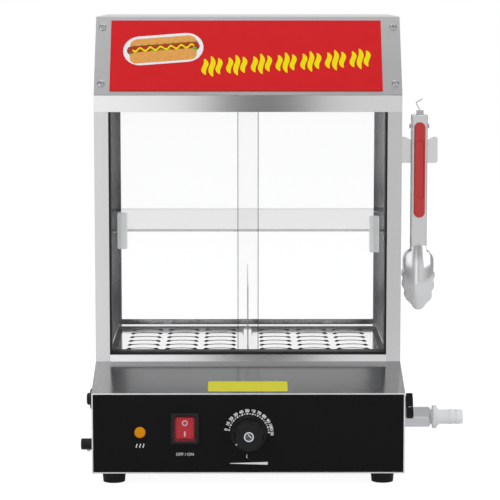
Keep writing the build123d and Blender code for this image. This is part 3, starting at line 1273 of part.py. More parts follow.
def holder_screw_y():
    """Depth of the holder screws."""
    return TONGS_Y + HOLDER_SHEET / 2 + HOLDER_FLANGE / 2


def make_tongs_holder():
    """Plate that stands out from the right wall, with a saddle for the tongs."""
    left = TONGS_X - SADDLE_HALF
    right = TONGS_X + SADDLE_HALF
    outline = [(HALF, HOLDER_BOTTOM), (HOLDER_END, HOLDER_BOTTOM), (HOLDER_END, HOLDER_TOP),
               (right + SADDLE_RAMP, HOLDER_TOP), (right, SADDLE_Z), (left, SADDLE_Z),
               (left - SADDLE_RAMP, HOLDER_TOP), (HALF, HOLDER_TOP)]
    face = make_face(Polyline(*outline, close=True))
    corners = face.vertices().filter_by(lambda vertex: vertex.X > HOLDER_END - SEAT)
    face = fillet(corners, HOLDER_CORNER / 2)
    back = TONGS_Y + HOLDER_SHEET / 2
    plate = upright(face, back - HOLDER_SHEET, back)
    plate += span(HALF, HALF + HOLDER_SHEET, back, back + HOLDER_FLANGE, HOLDER_BOTTOM, HOLDER_TOP)
    for z in holder_screw_heights():
        plate -= rod_x(SCREW_RADIUS + SEAT, HALF, HALF + HOLDER_SHEET, holder_screw_y(), z)
    return plate


# ---- Tongs ----
def scallop_centres(reach, stretch):
    """Lobe centres from the tip up one side, evenly spaced along an ellipse."""
    angle = -math.pi / 2
    centres = [(0, -stretch)]
    for step in range(SCALLOP_PAIRS * RIM_STEPS):
        speed = math.hypot(reach * math.sin(angle), stretch * math.cos(angle))
        angle += SCALLOP_PITCH / RIM_STEPS / speed
        if (step + 1) % RIM_STEPS == 0:
            centres.append((reach * math.cos(angle), stretch * math.sin(angle)))
    return centres


def head_outline():
    """Outline of a tong head in (X, Z): broad shoulders and a scalloped lower rim."""
    reach = HEAD_HALF_WIDTH - SCALLOP_RADIUS
    stretch = (HEAD_TOP - HEAD_BOTTOM) / 2 - SCALLOP_RADIUS
    lobe = SCALLOP_RADIUS - SCALLOP_DEPTH
    outline = Pos(TONGS_X, HEAD_MID_Z) * Ellipse(reach + lobe, stretch + lobe)
    for x, z in scallop_centres(reach, stretch):
        for side in SCREW_PAIRS:
            outline += Pos(TONGS_X + side * x, HEAD_MID_Z + z) * Circle(SCALLOP_RADIUS)
    shoulder = HEAD_SHOULDER - HEAD_MID_Z
    outline += Pos(TONGS_X, HEAD_MID_Z + shoulder / 2) * RectangleRounded(
        2 * (HEAD_HALF_WIDTH - SCALLOP_DEPTH), shoulder, HEAD_SHOULDER_ROUND)
    neck = 2 * ARM_HALF_WIDTH
    return outline + Pos(TONGS_X, HEAD_TOP - neck / 2) * Rectangle(neck, neck)


def make_head(side):
    """Spoon-like shell of one tong head, bulging away from the other."""
    crest = TONGS_Y + side * ARM_HALF_SPREAD
    sag = HEAD_LONG_RADIUS - math.sqrt(HEAD_LONG_RADIUS ** 2 - (HEAD_TOP - HEAD_MID_Z) ** 2)
    centre_y = crest + side * sag - side * HEAD_LONG_RADIUS
    ring = Pos(TONGS_X, centre_y, HEAD_MID_Z) * Rot(0, 90, 0)
    shell = ring * Torus(HEAD_LONG_MAJOR, HEAD_CROSS_RADIUS)
    shell -= ring * Torus(HEAD_LONG_MAJOR, HEAD_CROSS_RADIUS - TONGS_SHEET)
    near = TONGS_Y + side * EAR_GAP
    far = crest + side * 2 * ARM_HALF_SPREAD
    low, high = sorted((near, far))
    return shell & upright(head_outline(), low, high)


def make_tongs_arm(side):
    """Arm of the tongs: channel web, hinge ears and head. The front arm's ears go outside."""
    outer = TONGS_Y + side * ARM_HALF_SPREAD
    inner = outer - side * TONGS_SHEET
    low, high = sorted((outer, inner))
    ear_outer = ARM_HALF_WIDTH if side < 0 else EAR_OUTER - EAR_GAP
    web = span(TONGS_X - ARM_HALF_WIDTH, TONGS_X + ARM_HALF_WIDTH, low, high,
               HEAD_TOP - ARM_FLANGE / 4, ARM_TOP)
    arm = web
    for edge in SCREW_PAIRS:
        x0, x1 = sorted((TONGS_X + edge * ARM_HALF_WIDTH, TONGS_X + edge * EAR_OUTER))
        low, high = sorted((outer, outer - side * ARM_FLANGE))
        arm += span(x0, x1, low, high, ARM_FLANGE_BOTTOM, EAR_BOTTOM)
        x0, x1 = sorted((TONGS_X + edge * ear_outer, TONGS_X + edge * (ear_outer - TONGS_SHEET)))
        low, high = sorted((outer, TONGS_Y))
        arm += span(x0, x1, low, high, EAR_BOTTOM, ARM_TOP)
        arm += rod_x(EAR_RADIUS, x0, x1, TONGS_Y, PIVOT_Z)
    arm -= rod_x(PIN_RADIUS + (SEAT if side < 0 else RUNNING), TONGS_X - ARM_HALF_WIDTH,
                 TONGS_X + ARM_HALF_WIDTH, TONGS_Y, PIVOT_Z)
    return arm + make_head(side)


def make_tongs_grip(side):
    """Red silicone strip on the outside of an arm."""
    face = TONGS_Y + side * ARM_HALF_SPREAD
    length = TONGS_GRIP_TOP - TONGS_GRIP_BOTTOM
    middle = (TONGS_GRIP_TOP + TONGS_GRIP_BOTTOM) / 2
    outline = Pos(TONGS_X, middle) * RectangleRounded(2 * TONGS_GRIP_HALF, length,
                                                      TONGS_GRIP_HALF - SEAT)
    low, high = sorted((face, face + side * TONGS_GRIP_THICK))
    grip = upright(outline, low, high)
    outside = grip.faces().sort_by(Axis.Y)[0 if side < 0 else -1]
    grip = fillet(outside.edges(), TONGS_GRIP_ROUND)
    rest = TONGS_GRIP_HALF - THUMB_REST_MARGIN
    hollow = Pos(TONGS_X, (THUMB_REST_TOP + THUMB_REST_BOTTOM) / 2) * RectangleRounded(
        2 * rest, THUMB_REST_TOP - THUMB_REST_BOTTOM, rest - SEAT)
    outer = face + side * TONGS_GRIP_THICK
    low, high = sorted((outer, outer - side * THUMB_REST_DEPTH))
    return grip - upright(hollow, low, high)


def make_tongs_pivot_pin():
    """Rivet through the hinge ears."""
    half = PIN_LENGTH / 2
    pin = rod_x(PIN_RADIUS, TONGS_X - half, TONGS_X + half, TONGS_Y, PIVOT_Z)
    for edge in SCREW_PAIRS:
        low, high = sorted((TONGS_X + edge * half, TONGS_X + edge * (half - PIN_HEAD_THICK)))
        pin += rod_x(PIN_HEAD, low, high, TONGS_Y, PIVOT_Z)
    return pin


def make_tongs_spring():
    """Torsion spring round the pin, its legs against both arms."""
    start = TONGS_X - SPRING_PITCH * (SPRING_COILS - 1) / 2
    coil = rod_x(SPRING_RADIUS + SPRING_WIRE / 2, start, start + SPRING_PITCH * (SPRING_COILS - 1),
                 TONGS_Y, PIVOT_Z)
    coil -= rod_x(SPRING_RADIUS - SPRING_WIRE / 2, start, start + SPRING_PITCH * (SPRING_COILS - 1),
                  TONGS_Y, PIVOT_Z)
    for turn in range(SPRING_COILS):
        ring = Pos(start + turn * SPRING_PITCH, TONGS_Y, PIVOT_Z) * Rot(0, 90, 0)
        coil += ring * Torus(SPRING_RADIUS, SPRING_WIRE)
    for side in SCREW_PAIRS:
        x = TONGS_X + side * SPRING_PITCH * (SPRING_COILS - 1) / 2
        y = TONGS_Y + side * SPRING_RADIUS
        coil += rod_z(SPRING_WIRE, PIVOT_Z - SPRING_LEG / 2, PIVOT_Z, x, y)
    return coil


def make_tongs_lock_pull():
    """Sliding lock strip with the bent wire that sticks out at the top."""
    back = PULL_FRONT + TONGS_SHEET
    strip = span(TONGS_X - PULL_HALF_WIDTH, TONGS_X + PULL_HALF_WIDTH, PULL_FRONT, back,
                 PULL_BOTTOM, PULL_TOP)
    low = PULL_TOP - WIRE_ROOT
    points = [(TONGS_X, back, low), (TONGS_X, back, PULL_TOP),
              (TONGS_X - WIRE_BEND_OUT, back, WIRE_BEND_Z), (TONGS_X + WIRE_TIP_OUT, back, WIRE_TIP_Z)]
    return strip + tube(points, WIRE_RADIUS, WIRE_ROUND)


# ---- One file for each piece ----
def make_all():
    """Every piece of the steamer by its name."""
    return {
        "base_housing": make_base_housing(),
        "base_floor": make_base_floor(),
        "deck_plate": make_deck_plate(),
        "control_panel": make_control_panel(),
        "rubber_feet": make_rubber_feet(),
        "foot_screws": make_foot_screws(),
        "pan_head_screws": make_pan_head_screws(),
        "power_switch_body": make_power_switch_body(),
        "power_switch_rocker": make_power_switch_rocker(),
        "switch_boot": make_switch_boot(),
        "pilot_lamp_body": make_pilot_lamp_body(),
        "pilot_lamp_lens": make_pilot_lamp_lens(),
        "thermostat_body": make_thermostat_body(),
        "thermostat_spindle": make_thermostat_spindle(),
        "thermostat_knob": make_thermostat_knob(),
        "knob_cap": make_knob_cap(),
        "thermostat_capillary": make_thermostat_capillary(),
        "limit_thermostat": make_limit_thermostat(),
        "reset_cap": make_reset_cap(),
        "terminal_block": make_terminal_block(),
        "cord_gland": make_cord_gland(),
        "ground_stud": make_ground_stud(),
        "water_tank": make_water_tank(),
        "heating_element": make_heating_element(),
        "drain_pipe": make_drain_pipe(),
        "drain_valve_body": make_drain_valve_body(),
        "drain_valve_ball": make_drain_valve_ball(),
        "drain_valve_lever": make_drain_valve_lever(),
        "drain_lever_grip": make_drain_lever_grip(),
        "hose_barb": make_hose_barb(),
        "cabinet_side_left": make_cabinet_side(-1),
        "cabinet_side_right": make_cabinet_side(1),
        "top_rail": make_top_rail(),
        "bottom_rail": make_bottom_rail(),
        "door_track_lower": make_door_track_lower(),
        "door_track_upper": make_door_track_upper(),
        "door_jambs": make_door_jambs(),
        "hood": make_hood(),
        "sign_panel": make_sign_panel(),
        "sign_screws": make_sign_screws(),
        "rear_frame": make_rear_frame(),
        "rear_glass": make_rear_glass(),
        "left_door_glass": make_door_glass(-1),
        "right_door_glass": make_door_glass(1),
        "left_door_handle": make_door_handle(-1),
        "right_door_handle": make_door_handle(1),
        "bun_shelf": make_bun_shelf(),
        "shelf_brackets": make_shelf_brackets(),
        "grate_left": make_grate(-1),
        "grate_right": make_grate(1),
        "grate_center_rail": make_grate_center_rail(),
        "divider_plate": make_divider_plate(),
        "tongs_holder": make_tongs_holder(),
        "tongs_front_arm": make_tongs_arm(-1),
        "tongs_rear_arm": make_tongs_arm(1),
        "tongs_front_grip": make_tongs_grip(-1),
        "tongs_rear_grip": make_tongs_grip(1),
        "tongs_pivot_pin": make_tongs_pivot_pin(),
        "tongs_spring": make_tongs_spring(),
        "tongs_lock_pull": make_tongs_lock_pull(),
    }


os.makedirs("parts", exist_ok=True)
for name, shape in make_all().items():
    shape.label = name
    export_step(shape, f"parts/{name}.step")
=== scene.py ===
import math

import bmesh
import bpy
from mathutils import Matrix, Vector
from mathutils.bvhtree import BVHTree


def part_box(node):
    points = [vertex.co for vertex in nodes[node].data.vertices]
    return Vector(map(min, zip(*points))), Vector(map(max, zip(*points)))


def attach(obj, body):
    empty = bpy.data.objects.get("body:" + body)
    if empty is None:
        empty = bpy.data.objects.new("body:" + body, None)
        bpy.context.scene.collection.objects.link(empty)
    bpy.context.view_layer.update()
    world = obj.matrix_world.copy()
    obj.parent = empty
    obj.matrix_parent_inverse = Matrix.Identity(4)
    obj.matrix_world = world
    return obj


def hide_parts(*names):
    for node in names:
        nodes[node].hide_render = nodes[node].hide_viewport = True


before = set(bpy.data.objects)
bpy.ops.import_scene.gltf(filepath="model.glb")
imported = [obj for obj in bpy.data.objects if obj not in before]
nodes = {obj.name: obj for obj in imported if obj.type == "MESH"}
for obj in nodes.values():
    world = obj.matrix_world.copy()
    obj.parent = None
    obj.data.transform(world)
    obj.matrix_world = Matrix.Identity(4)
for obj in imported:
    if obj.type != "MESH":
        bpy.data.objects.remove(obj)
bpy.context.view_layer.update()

# A countertop hot dog steamer. Metres, X to the right, Y to the back, Z up.

MM = 0.001

# ---- Camera, matched to the photograph ----
IMAGE = 500.0                 # pixels across and down
FOCAL = 2171.7                # pixels
EYE = Vector((-0.0083, -2.6687, 0.5785))
PITCH = math.radians(6.92)
YAW = math.radians(-0.236)
SENSOR = 36.0                 # millimetres


# ---- Materials ----
BUMP_DEPTH = 0.1 * MM
EDGE_SAMPLES = 4


def new_material(name):
    """Empty node material with a Principled shader."""
    material = bpy.data.materials.new(name)
    material.use_nodes = True
    return material, material.node_tree.nodes, material.node_tree.links


def shader(nodes_, color, metallic=0.0, roughness=0.5, **sockets):
    """Set constant values on the Principled shader's own sockets."""
    bsdf = nodes_["Principled BSDF"]
    bsdf.inputs["Base Color"].default_value = (*color, 1)
    bsdf.inputs["Metallic"].default_value = metallic
    bsdf.inputs["Roughness"].default_value = roughness
    for socket, value in sockets.items():
        bsdf.inputs[socket.replace("_", " ")].default_value = value
    return bsdf


def textured(name, color, metallic, roughness, scale, color_range, rough_range, bump,
             stretch=(1, 1, 1), detail=3.0, edge=0.0, **sockets):
    """Material whose colour, roughness and bump follow one stretched noise."""
    material, tree, links = new_material(name)
    bsdf = shader(tree, color, metallic, roughness, **sockets)
    place = tree.new("ShaderNodeTexCoord")
    mapping = tree.new("ShaderNodeMapping")
    mapping.inputs["Scale"].default_value = stretch
    noise = tree.new("ShaderNodeTexNoise")
    noise.inputs["Scale"].default_value = scale
    noise.inputs["Detail"].default_value = detail
    links.new(place.outputs["Object"], mapping.inputs["Vector"])
    links.new(mapping.outputs["Vector"], noise.inputs["Vector"])
    tint = tree.new("ShaderNodeMix")
    tint.data_type = "RGBA"
    tint.inputs["A"].default_value = (*[c * (1 - color_range) for c in color], 1)
    tint.inputs["B"].default_value = (*[min(1.0, c * (1 + color_range)) for c in color], 1)
    links.new(noise.outputs["Fac"], tint.inputs["Factor"])
    links.new(tint.outputs["Result"], bsdf.inputs["Base Color"])
    rough = tree.new("ShaderNodeMapRange")
    rough.inputs["To Min"].default_value = roughness - rough_range
    rough.inputs["To Max"].default_value = roughness + rough_range
    links.new(noise.outputs["Fac"], rough.inputs["Value"])
    links.new(rough.outputs["Result"], bsdf.inputs["Roughness"])
    height = tree.new("ShaderNodeBump")
    height.inputs["Strength"].default_value = bump
    height.inputs["Distance"].default_value = BUMP_DEPTH
    links.new(noise.outputs["Fac"], height.inputs["Height"])
    if edge:
        round_edge = tree.new("ShaderNodeBevel")
        round_edge.samples = EDGE_SAMPLES
        round_edge.inputs["Radius"].default_value = edge
        links.new(round_edge.outputs["Normal"], height.inputs["Normal"])
    links.new(height.outputs["Normal"], bsdf.inputs["Normal"])
    return material


def edged(material, axis, low, high, color, alpha):
    """Darken a pane's ground edges, told by the place across its own box."""
    tree = material.node_tree.nodes
    links = material.node_tree.links
    bsdf = tree["Principled BSDF"]
    place = tree.new("ShaderNodeTexCoord")
    split = tree.new("ShaderNodeSeparateXYZ")
    links.new(place.outputs["Generated"], split.inputs[0])
    sides = []
    for operation, limit in (("LESS_THAN", low), ("GREATER_THAN", high)):
        side = tree.new("ShaderNodeMath")
        side.operation = operation
        side.inputs[1].default_value = limit
        links.new(split.outputs[axis], side.inputs[0])
        sides.append(side)
    edge = tree.new("ShaderNodeMath")
    edge.operation = "MAXIMUM"
    links.new(sides[0].outputs[0], edge.inputs[0])
    links.new(sides[1].outputs[0], edge.inputs[1])
    tint = tree.new("ShaderNodeMix")
    tint.data_type = "RGBA"
    links.new(edge.outputs[0], tint.inputs["Factor"])
    links.new(bsdf.inputs["Base Color"].links[0].from_socket, tint.inputs["A"])
    tint.inputs["B"].default_value = (*color, 1)
    links.new(tint.outputs["Result"], bsdf.inputs["Base Color"])
    clear = tree.new("ShaderNodeMapRange")
    clear.inputs["To Min"].default_value = bsdf.inputs["Alpha"].default_value
    clear.inputs["To Max"].default_value = alpha
    links.new(edge.outputs[0], clear.inputs["Value"])
    links.new(clear.outputs["Result"], bsdf.inputs["Alpha"])
    return material


FLAT = 0.6                    # least share of Z in the normal of a face that looks up or down


def painted_side_shade(material, color):
    """Painted shade: colour the faces of a flat piece that don't look up or down, such as slot
    walls, dark.
    """
    tree = material.node_tree.nodes
    links = material.node_tree.links
    bsdf = tree["Principled BSDF"]
    place = tree.new("ShaderNodeTexCoord")
    split = tree.new("ShaderNodeSeparateXYZ")
    links.new(place.outputs["Normal"], split.inputs[0])
    level = tree.new("ShaderNodeMath")
    level.operation = "ABSOLUTE"
    links.new(split.outputs["Z"], level.inputs[0])
    side = tree.new("ShaderNodeMath")
    side.operation = "LESS_THAN"
    side.inputs[1].default_value = FLAT
    links.new(level.outputs[0], side.inputs[0])
    tint = tree.new("ShaderNodeMix")
    tint.data_type = "RGBA"
    links.new(side.outputs[0], tint.inputs["Factor"])
    links.new(bsdf.inputs["Base Color"].links[0].from_socket, tint.inputs["A"])
    tint.inputs["B"].default_value = (*color, 1)
    links.new(tint.outputs["Result"], bsdf.inputs["Base Color"])
    return material


STEEL = (0.68, 0.68, 0.685)
GRAIN_ROWS = (3, 3, 2200)     # brush lines run level on upright sheets
GRAIN_DECK = (3, 2200, 3)     # and from side to side on flat ones
EDGE = 0.5 * MM
MATT = 0.12                   # specular level of the dark plastics and prints


def make_materials():
    """Every finish by its name."""
    return {
        "wall": textured("brushed_wall", STEEL, 1.0, 0.20, 1.0, 0.02, 0.03, 0.03, GRAIN_ROWS,
                         edge=EDGE),
        "board": textured("brushed_board", (0.60, 0.60, 0.605), 1.0, 0.30, 1.0, 0.02, 0.03, 0.03,
                          GRAIN_ROWS, edge=EDGE),
        "rail": textured("polished_rail", (0.77, 0.77, 0.775), 1.0, 0.09, 1.0, 0.02, 0.02, 0.02,
                         GRAIN_ROWS, edge=EDGE),
        "ledge": textured("polished_ledge", (0.79, 0.79, 0.795), 1.0, 0.17, 1.0, 0.02, 0.02, 0.02,
                          GRAIN_DECK, edge=EDGE),
        "deck": textured("brushed_deck", STEEL, 1.0, 0.25, 1.0, 0.02, 0.03, 0.03, GRAIN_DECK),
        "rear": textured("rear_steel", (0.44, 0.44, 0.445), 1.0, 0.18, 1.0, 0.03, 0.03, 0.03,
                         GRAIN_ROWS),
        # Stainless tank coloured near-black: painted shade for its shaded inside under the grates.
        "tank": textured("tank_steel_painted_shade", (0.05, 0.05, 0.052), 1.0, 0.35, 90, 0.06, 0.05, 0.05),
        # Grate steel with painted shade: faces that don't look up or down, slot walls and louvre
        # fronts among them, are coloured near-black.
        "grate": painted_side_shade(textured("grate_steel_side_shade", (0.90, 0.90, 0.90), 1.0, 0.10, 90,
                                     0.02, 0.03, 0.02), (0.02, 0.02, 0.02)),
        "divider": textured("divider_steel", (0.34, 0.34, 0.345), 1.0, 0.20, 1.0, 0.03, 0.03, 0.03,
                            GRAIN_ROWS),
        "tongs": textured("tongs_steel", (0.72, 0.72, 0.73), 1.0, 0.14, 160, 0.03, 0.03, 0.03,
                          edge=2.4 * MM),
        "holder": textured("holder_steel", (0.80, 0.80, 0.81), 1.0, 0.22, 160, 0.03, 0.04, 0.04,
                           edge=0.3 * MM),
        "zinc": textured("zinc_plate", (0.50, 0.51, 0.52), 1.0, 0.26, 300, 0.08, 0.06, 0.10,
                         edge=0.2 * MM),
        "screw": textured("screw_steel", (0.30, 0.30, 0.31), 1.0, 0.26, 300, 0.08, 0.06, 0.10,
                          edge=0.2 * MM),
        "bright": textured("bright_cap", (0.74, 0.75, 0.77), 1.0, 0.14, 200, 0.04, 0.04, 0.06),
        "disc": textured("knob_disc", (0.11, 0.12, 0.14), 1.0, 0.22, 200, 0.04, 0.04, 0.06,
                         edge=0.4 * MM),
        "panel": textured("black_panel", (0.0045, 0.0045, 0.0048), 0.0, 0.42, 700, 0.15, 0.05, 0.10,
                          Specular_IOR_Level=0.10),
        "black": textured("black_plastic", (0.008, 0.008, 0.0085), 0.0, 0.38, 900, 0.15, 0.06, 0.15,
                          edge=0.3 * MM, Specular_IOR_Level=0.22),
        "knob": textured("knob_plastic", (0.0065, 0.0065, 0.007), 0.0, 0.36, 900, 0.15, 0.05, 0.12,
                         edge=0.5 * MM, Specular_IOR_Level=0.22),
        "rubber": textured("black_rubber", (0.008, 0.008, 0.008), 0.0, 0.60, 500, 0.2, 0.1, 0.3,
                           Specular_IOR_Level=0.22),
        "grip": textured("red_grip", (0.74, 0.05, 0.045), 0.0, 0.36, 600, 0.05, 0.05, 0.15,
                         edge=1.2 * MM, Specular_IOR_Level=0.5),
        "sign": textured("red_sign", (0.67, 0.014, 0.018), 0.0, 0.40, 60, 0.03, 0.04, 0.03,
                         Specular_IOR_Level=MATT),
        "yellow": textured("yellow_print", (0.90, 0.76, 0.0), 0.0, 0.45, 80, 0.03, 0.04, 0.03,
                           Specular_IOR_Level=MATT),
        "label": textured("yellow_label", (0.82, 0.76, 0.06), 0.0, 0.50, 300, 0.03, 0.04, 0.05,
                          Specular_IOR_Level=MATT),
        "cream": textured("bun_print", (0.78, 0.36, 0.09), 0.0, 0.45, 260, 0.22, 0.04, 0.03,
                          Specular_IOR_Level=MATT),
        "brown": textured("sausage_print", (0.40, 0.045, 0.02), 0.0, 0.45, 320, 0.30, 0.04, 0.03,
                          Specular_IOR_Level=MATT),
        "green": textured("leaf_print", (0.22, 0.42, 0.03), 0.0, 0.45, 420, 0.40, 0.04, 0.03,
                          Specular_IOR_Level=MATT),
        "white": textured("white_print", (0.86, 0.86, 0.86), 0.0, 0.45, 300, 0.03, 0.04, 0.05,
                          Specular_IOR_Level=MATT),
        "nylon": textured("white_nylon", (0.98, 0.98, 0.975), 0.0, 0.45, 200, 0.02, 0.05, 0.10,
                          edge=0.4 * MM),
        "amber": textured("amber_lens", (0.74, 0.27, 0.0), 0.0, 0.25, 200, 0.05, 0.03, 0.05,
                          Specular_IOR_Level=0.15),
        "rocker": textured("red_rocker", (0.56, 0.02, 0.03), 0.0, 0.35, 500, 0.05, 0.05, 0.05,
                           Specular_IOR_Level=0.3),
        "copper": textured("copper_tube", (0.72, 0.42, 0.28), 1.0, 0.35, 200, 0.08, 0.06, 0.1),
        "element": textured("element_steel", (0.42, 0.41, 0.39), 1.0, 0.40, 120, 0.15, 0.08, 0.2),
        "glass": edged(textured("door_glass", (0.62, 0.64, 0.64), 0.0, 0.08, 5, 0.02, 0.02, 0.0,
                                Specular_IOR_Level=0.2, Alpha=0.030), "X", 0.0045, 0.9955,
                       (0.03, 0.035, 0.035), 0.75),
        "rear_pane": textured("rear_pane", (0.62, 0.64, 0.64), 0.0, 0.08, 5, 0.02, 0.02, 0.0,
                              Specular_IOR_Level=0.2, Alpha=0.012),
        "shelf_glass": edged(textured("shelf_glass", (0.30, 0.31, 0.31), 0.0, 0.15, 5, 0.25, 0.02,
                                      0.0, Specular_IOR_Level=0.2, Alpha=0.20), "Y", 0.002, 2.0,
                             (0.10, 0.11, 0.11), 0.5),
        "clear": edged(textured("clear_vinyl", (0.62, 0.07, 0.09), 0.0, 0.12, 90, 0.04, 0.05, 0.1,
                                Specular_IOR_Level=0.22, Alpha=0.16), "Y", -1.0, 0.87,
                       (0.012, 0.012, 0.012), 1.0),
        "frosted": textured("frosted_pull", (0.80, 0.81, 0.81), 0.0, 0.35, 200, 0.05, 0.08, 0.1,
                            Specular_IOR_Level=0.3, Alpha=0.80, edge=0.4 * MM),
    }


FINISH = {
    "base_housing": "ledge", "base_floor": "wall", "deck_plate": "deck", "control_panel": "panel",
    "rubber_feet": "rubber", "foot_screws": "screw", "pan_head_screws": "screw",
    "power_switch_body": "black", "power_switch_rocker": "rocker", "switch_boot": "clear",
    "pilot_lamp_body": "black", "pilot_lamp_lens": "amber", "thermostat_body": "zinc",
    "thermostat_spindle": "zinc", "thermostat_knob": "knob", "knob_cap": "disc",
    "thermostat_capillary": "copper", "limit_thermostat": "black", "reset_cap": "black",
    "terminal_block": "nylon", "cord_gland": "black", "ground_stud": "zinc",
    "water_tank": "tank", "heating_element": "element", "drain_pipe": "zinc",
    "drain_valve_body": "bright", "drain_valve_ball": "bright", "drain_valve_lever": "zinc",
    "drain_lever_grip": "rubber", "hose_barb": "nylon", "cabinet_side_left": "wall",
    "cabinet_side_right": "wall", "top_rail": "rail", "bottom_rail": "rail",
    "door_track_lower": "black", "door_track_upper": "black", "door_jambs": "black",
    "hood": "board", "sign_panel": "sign", "sign_screws": "zinc", "rear_frame": "rear",
    "rear_glass": "rear_pane", "left_door_glass": "glass", "right_door_glass": "glass",
    "left_door_handle": "frosted", "right_door_handle": "frosted", "bun_shelf": "shelf_glass",
    "shelf_brackets": "wall", "grate_left": "grate", "grate_right": "grate",
    "grate_center_rail": "grate", "divider_plate": "divider", "tongs_holder": "holder",
    "tongs_front_arm": "tongs", "tongs_rear_arm": "tongs", "tongs_front_grip": "grip",
    "tongs_rear_grip": "grip", "tongs_pivot_pin": "zinc", "tongs_spring": "zinc",
    "tongs_lock_pull": "zinc",
}


# ---- Mesh helpers ----
def mesh_object(name, bm, material, smooth=False):
    """Object from a bmesh."""
    mesh = bpy.data.meshes.new(name)
    bm.to_mesh(mesh)
    bm.free()
    piece = bpy.data.objects.new(name, mesh)
    bpy.context.scene.collection.objects.link(piece)
    mesh.materials.append(material)
    for polygon in mesh.polygons:
        polygon.use_smooth = smooth
    return piece


INK = 0.03 * MM               # thickness of a printed mark
LETTER_INK = 0.02 * MM        # half the thickness of a letter


def outline_piece(name, outlines, thickness, material, place, bevel=0.0):
    """Plate of one or more outlines in its own XY plane, put in place by a matrix."""
    bm = bmesh.new()
    for points in outlines:
        ring = [bm.verts.new((x, y, 0)) for x, y in points]
        face = bm.faces.new(ring)
        top = bmesh.ops.extrude_face_region(bm, geom=[face])
        moved = [v for v in top["geom"] if isinstance(v, bmesh.types.BMVert)]
        bmesh.ops.translate(bm, verts=moved, vec=(0, 0, thickness))
    bmesh.ops.recalc_face_normals(bm, faces=bm.faces)
    piece = mesh_object(name, bm, material)
    if bevel:
        soften = piece.modifiers.new("soften", "BEVEL")
        soften.width = bevel
        soften.segments = 2
        soften.limit_method = "ANGLE"
    piece.matrix_world = place
    return piece


def printed(name, outlines, finish_name, place, body="cabinet",
            thickness=INK):
    """Flat print on a face."""
    piece = outline_piece(name, outlines, thickness, finish[finish_name], place)
    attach(piece, body)
    return piece


def surface(node, x, z):
    """Point and normal where a level line from the front meets a node."""
    tree = BVHTree.FromObject(nodes[node], bpy.context.evaluated_depsgraph_get())
    point, normal, _, _ = tree.ray_cast(Vector((x, -1, z)), Vector((0, 1, 0)))
    return point, normal


def lying_on(node, x, z, lift):
    """Place on a node's front face, turned to lie on it."""
    point, normal = surface(node, x, z)
    across = Vector((1, 0, 0))
    up = normal.cross(across).normalized()
    place = Matrix((across, up, normal)).transposed().to_4x4()
    return Matrix.Translation(point + normal * lift) @ place


def circle_points(radius, count=32, x=0.0, y=0.0):
    """Points round a circle."""
    turn = 2 * math.pi / count
    return [(x + radius * math.cos(turn * i), y + radius * math.sin(turn * i))
            for i in range(count)]


def capsule_points(width, height, count=12):
    """Points round an upright capsule."""
    radius = width / 2
    rise = height / 2 - radius
    top = [(radius * math.cos(math.pi * i / count), rise + radius * math.sin(math.pi * i / count))
           for i in range(count + 1)]
    return top + [(-x, -y) for x, y in top]


def rounded_points(width, height, radius, count=6):
    """Points round a rounded rectangle."""
    points = []
    for corner in range(4):
        cx = (width / 2 - radius) * (1 if corner in (0, 3) else -1)
        cy = (height / 2 - radius) * (1 if corner in (0, 1) else -1)
        for i in range(count + 1):
            angle = math.pi / 2 * (corner + i / count)
            points.append((cx + radius * math.cos(angle), cy + radius * math.sin(angle)))
    return points


def facing(x, y, z, turn=0.0):
    """Place on an upright front face: local X to the right, local Y up, local Z to the user."""
    upright = Matrix.Rotation(math.pi / 2, 4, "X")
    return Matrix.Translation((x, y, z)) @ Matrix.Rotation(-turn, 4, "Y") @ upright


def wave_ribbon(length, width, swing, waves, taper=0.0, count=48):
    """Outline of a wavy ribbon, level along X, with its ends drawn thin by the taper."""
    upper = []
    lower = []
    for i in range(count + 1):
        t = i / count
        x = (t - 0.5) * length
        y = swing * math.sin(2 * math.pi * waves * t)
        half = width / 2 * (1 - taper + taper * math.sin(math.pi * t) ** 0.6)
        upper.append((x, y + half))
        lower.append((x, y - half))
    return upper + lower[::-1]


# ---- Sloping sign board ----
SLOPE_START = 451.3 * MM      # height of the bend between header rail and board
SLOPE_RUN = 59 * MM           # how far back the board leans
SLOPE_FOOT = Vector((0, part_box("top_rail")[0].y, SLOPE_START))
SLOPE_HEAD = Vector((0, SLOPE_FOOT.y + SLOPE_RUN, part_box("hood")[1].z))
slope_line = SLOPE_HEAD - SLOPE_FOOT
SLOPE = math.atan2(slope_line.z, slope_line.y)


def on_board(x, distance, lift, turn=0.0):
    """Place on the sloping board: local X to the right, local Y up the slope."""
    point = SLOPE_FOOT + slope_line.normalized() * distance
    normal = Vector((0, -math.sin(SLOPE), math.cos(SLOPE)))
    point = point + normal * lift + Vector((x, 0, 0))
    lean = Matrix.Rotation(SLOPE, 4, "X")
    return Matrix.Translation(point) @ lean @ Matrix.Rotation(turn, 4, "Z")


SIGN_FACE = 1.5 * MM
PRINT = 0.25 * MM
RISE = math.radians(3.4)      # the row of marks climbs to the right
WAVE_HEIGHT = {-8.4: 22, 0: 28, 8.4: 22}   # place across a mark and height, in mm
WAVE_WIDTH = 6.6 * MM
WAVE_SWING = 1.7 * MM
WAVE_TAPER = 0.92
MARKS = 7
MARK_PITCH = 29.4 * MM
FIRST_MARK = Vector((-42.8 * MM, 38 * MM))      # across and up the board
PICTURE = (-101 * MM, 62 * MM)                  # across and up the board
PICTURE_TILT = math.radians(5)


def leaf_edge(length, width, swing, waves):
    """Wavy strip laid along the bun."""
    return [(y, x) for x, y in wave_ribbon(length * MM, width * MM, swing * MM, waves)]


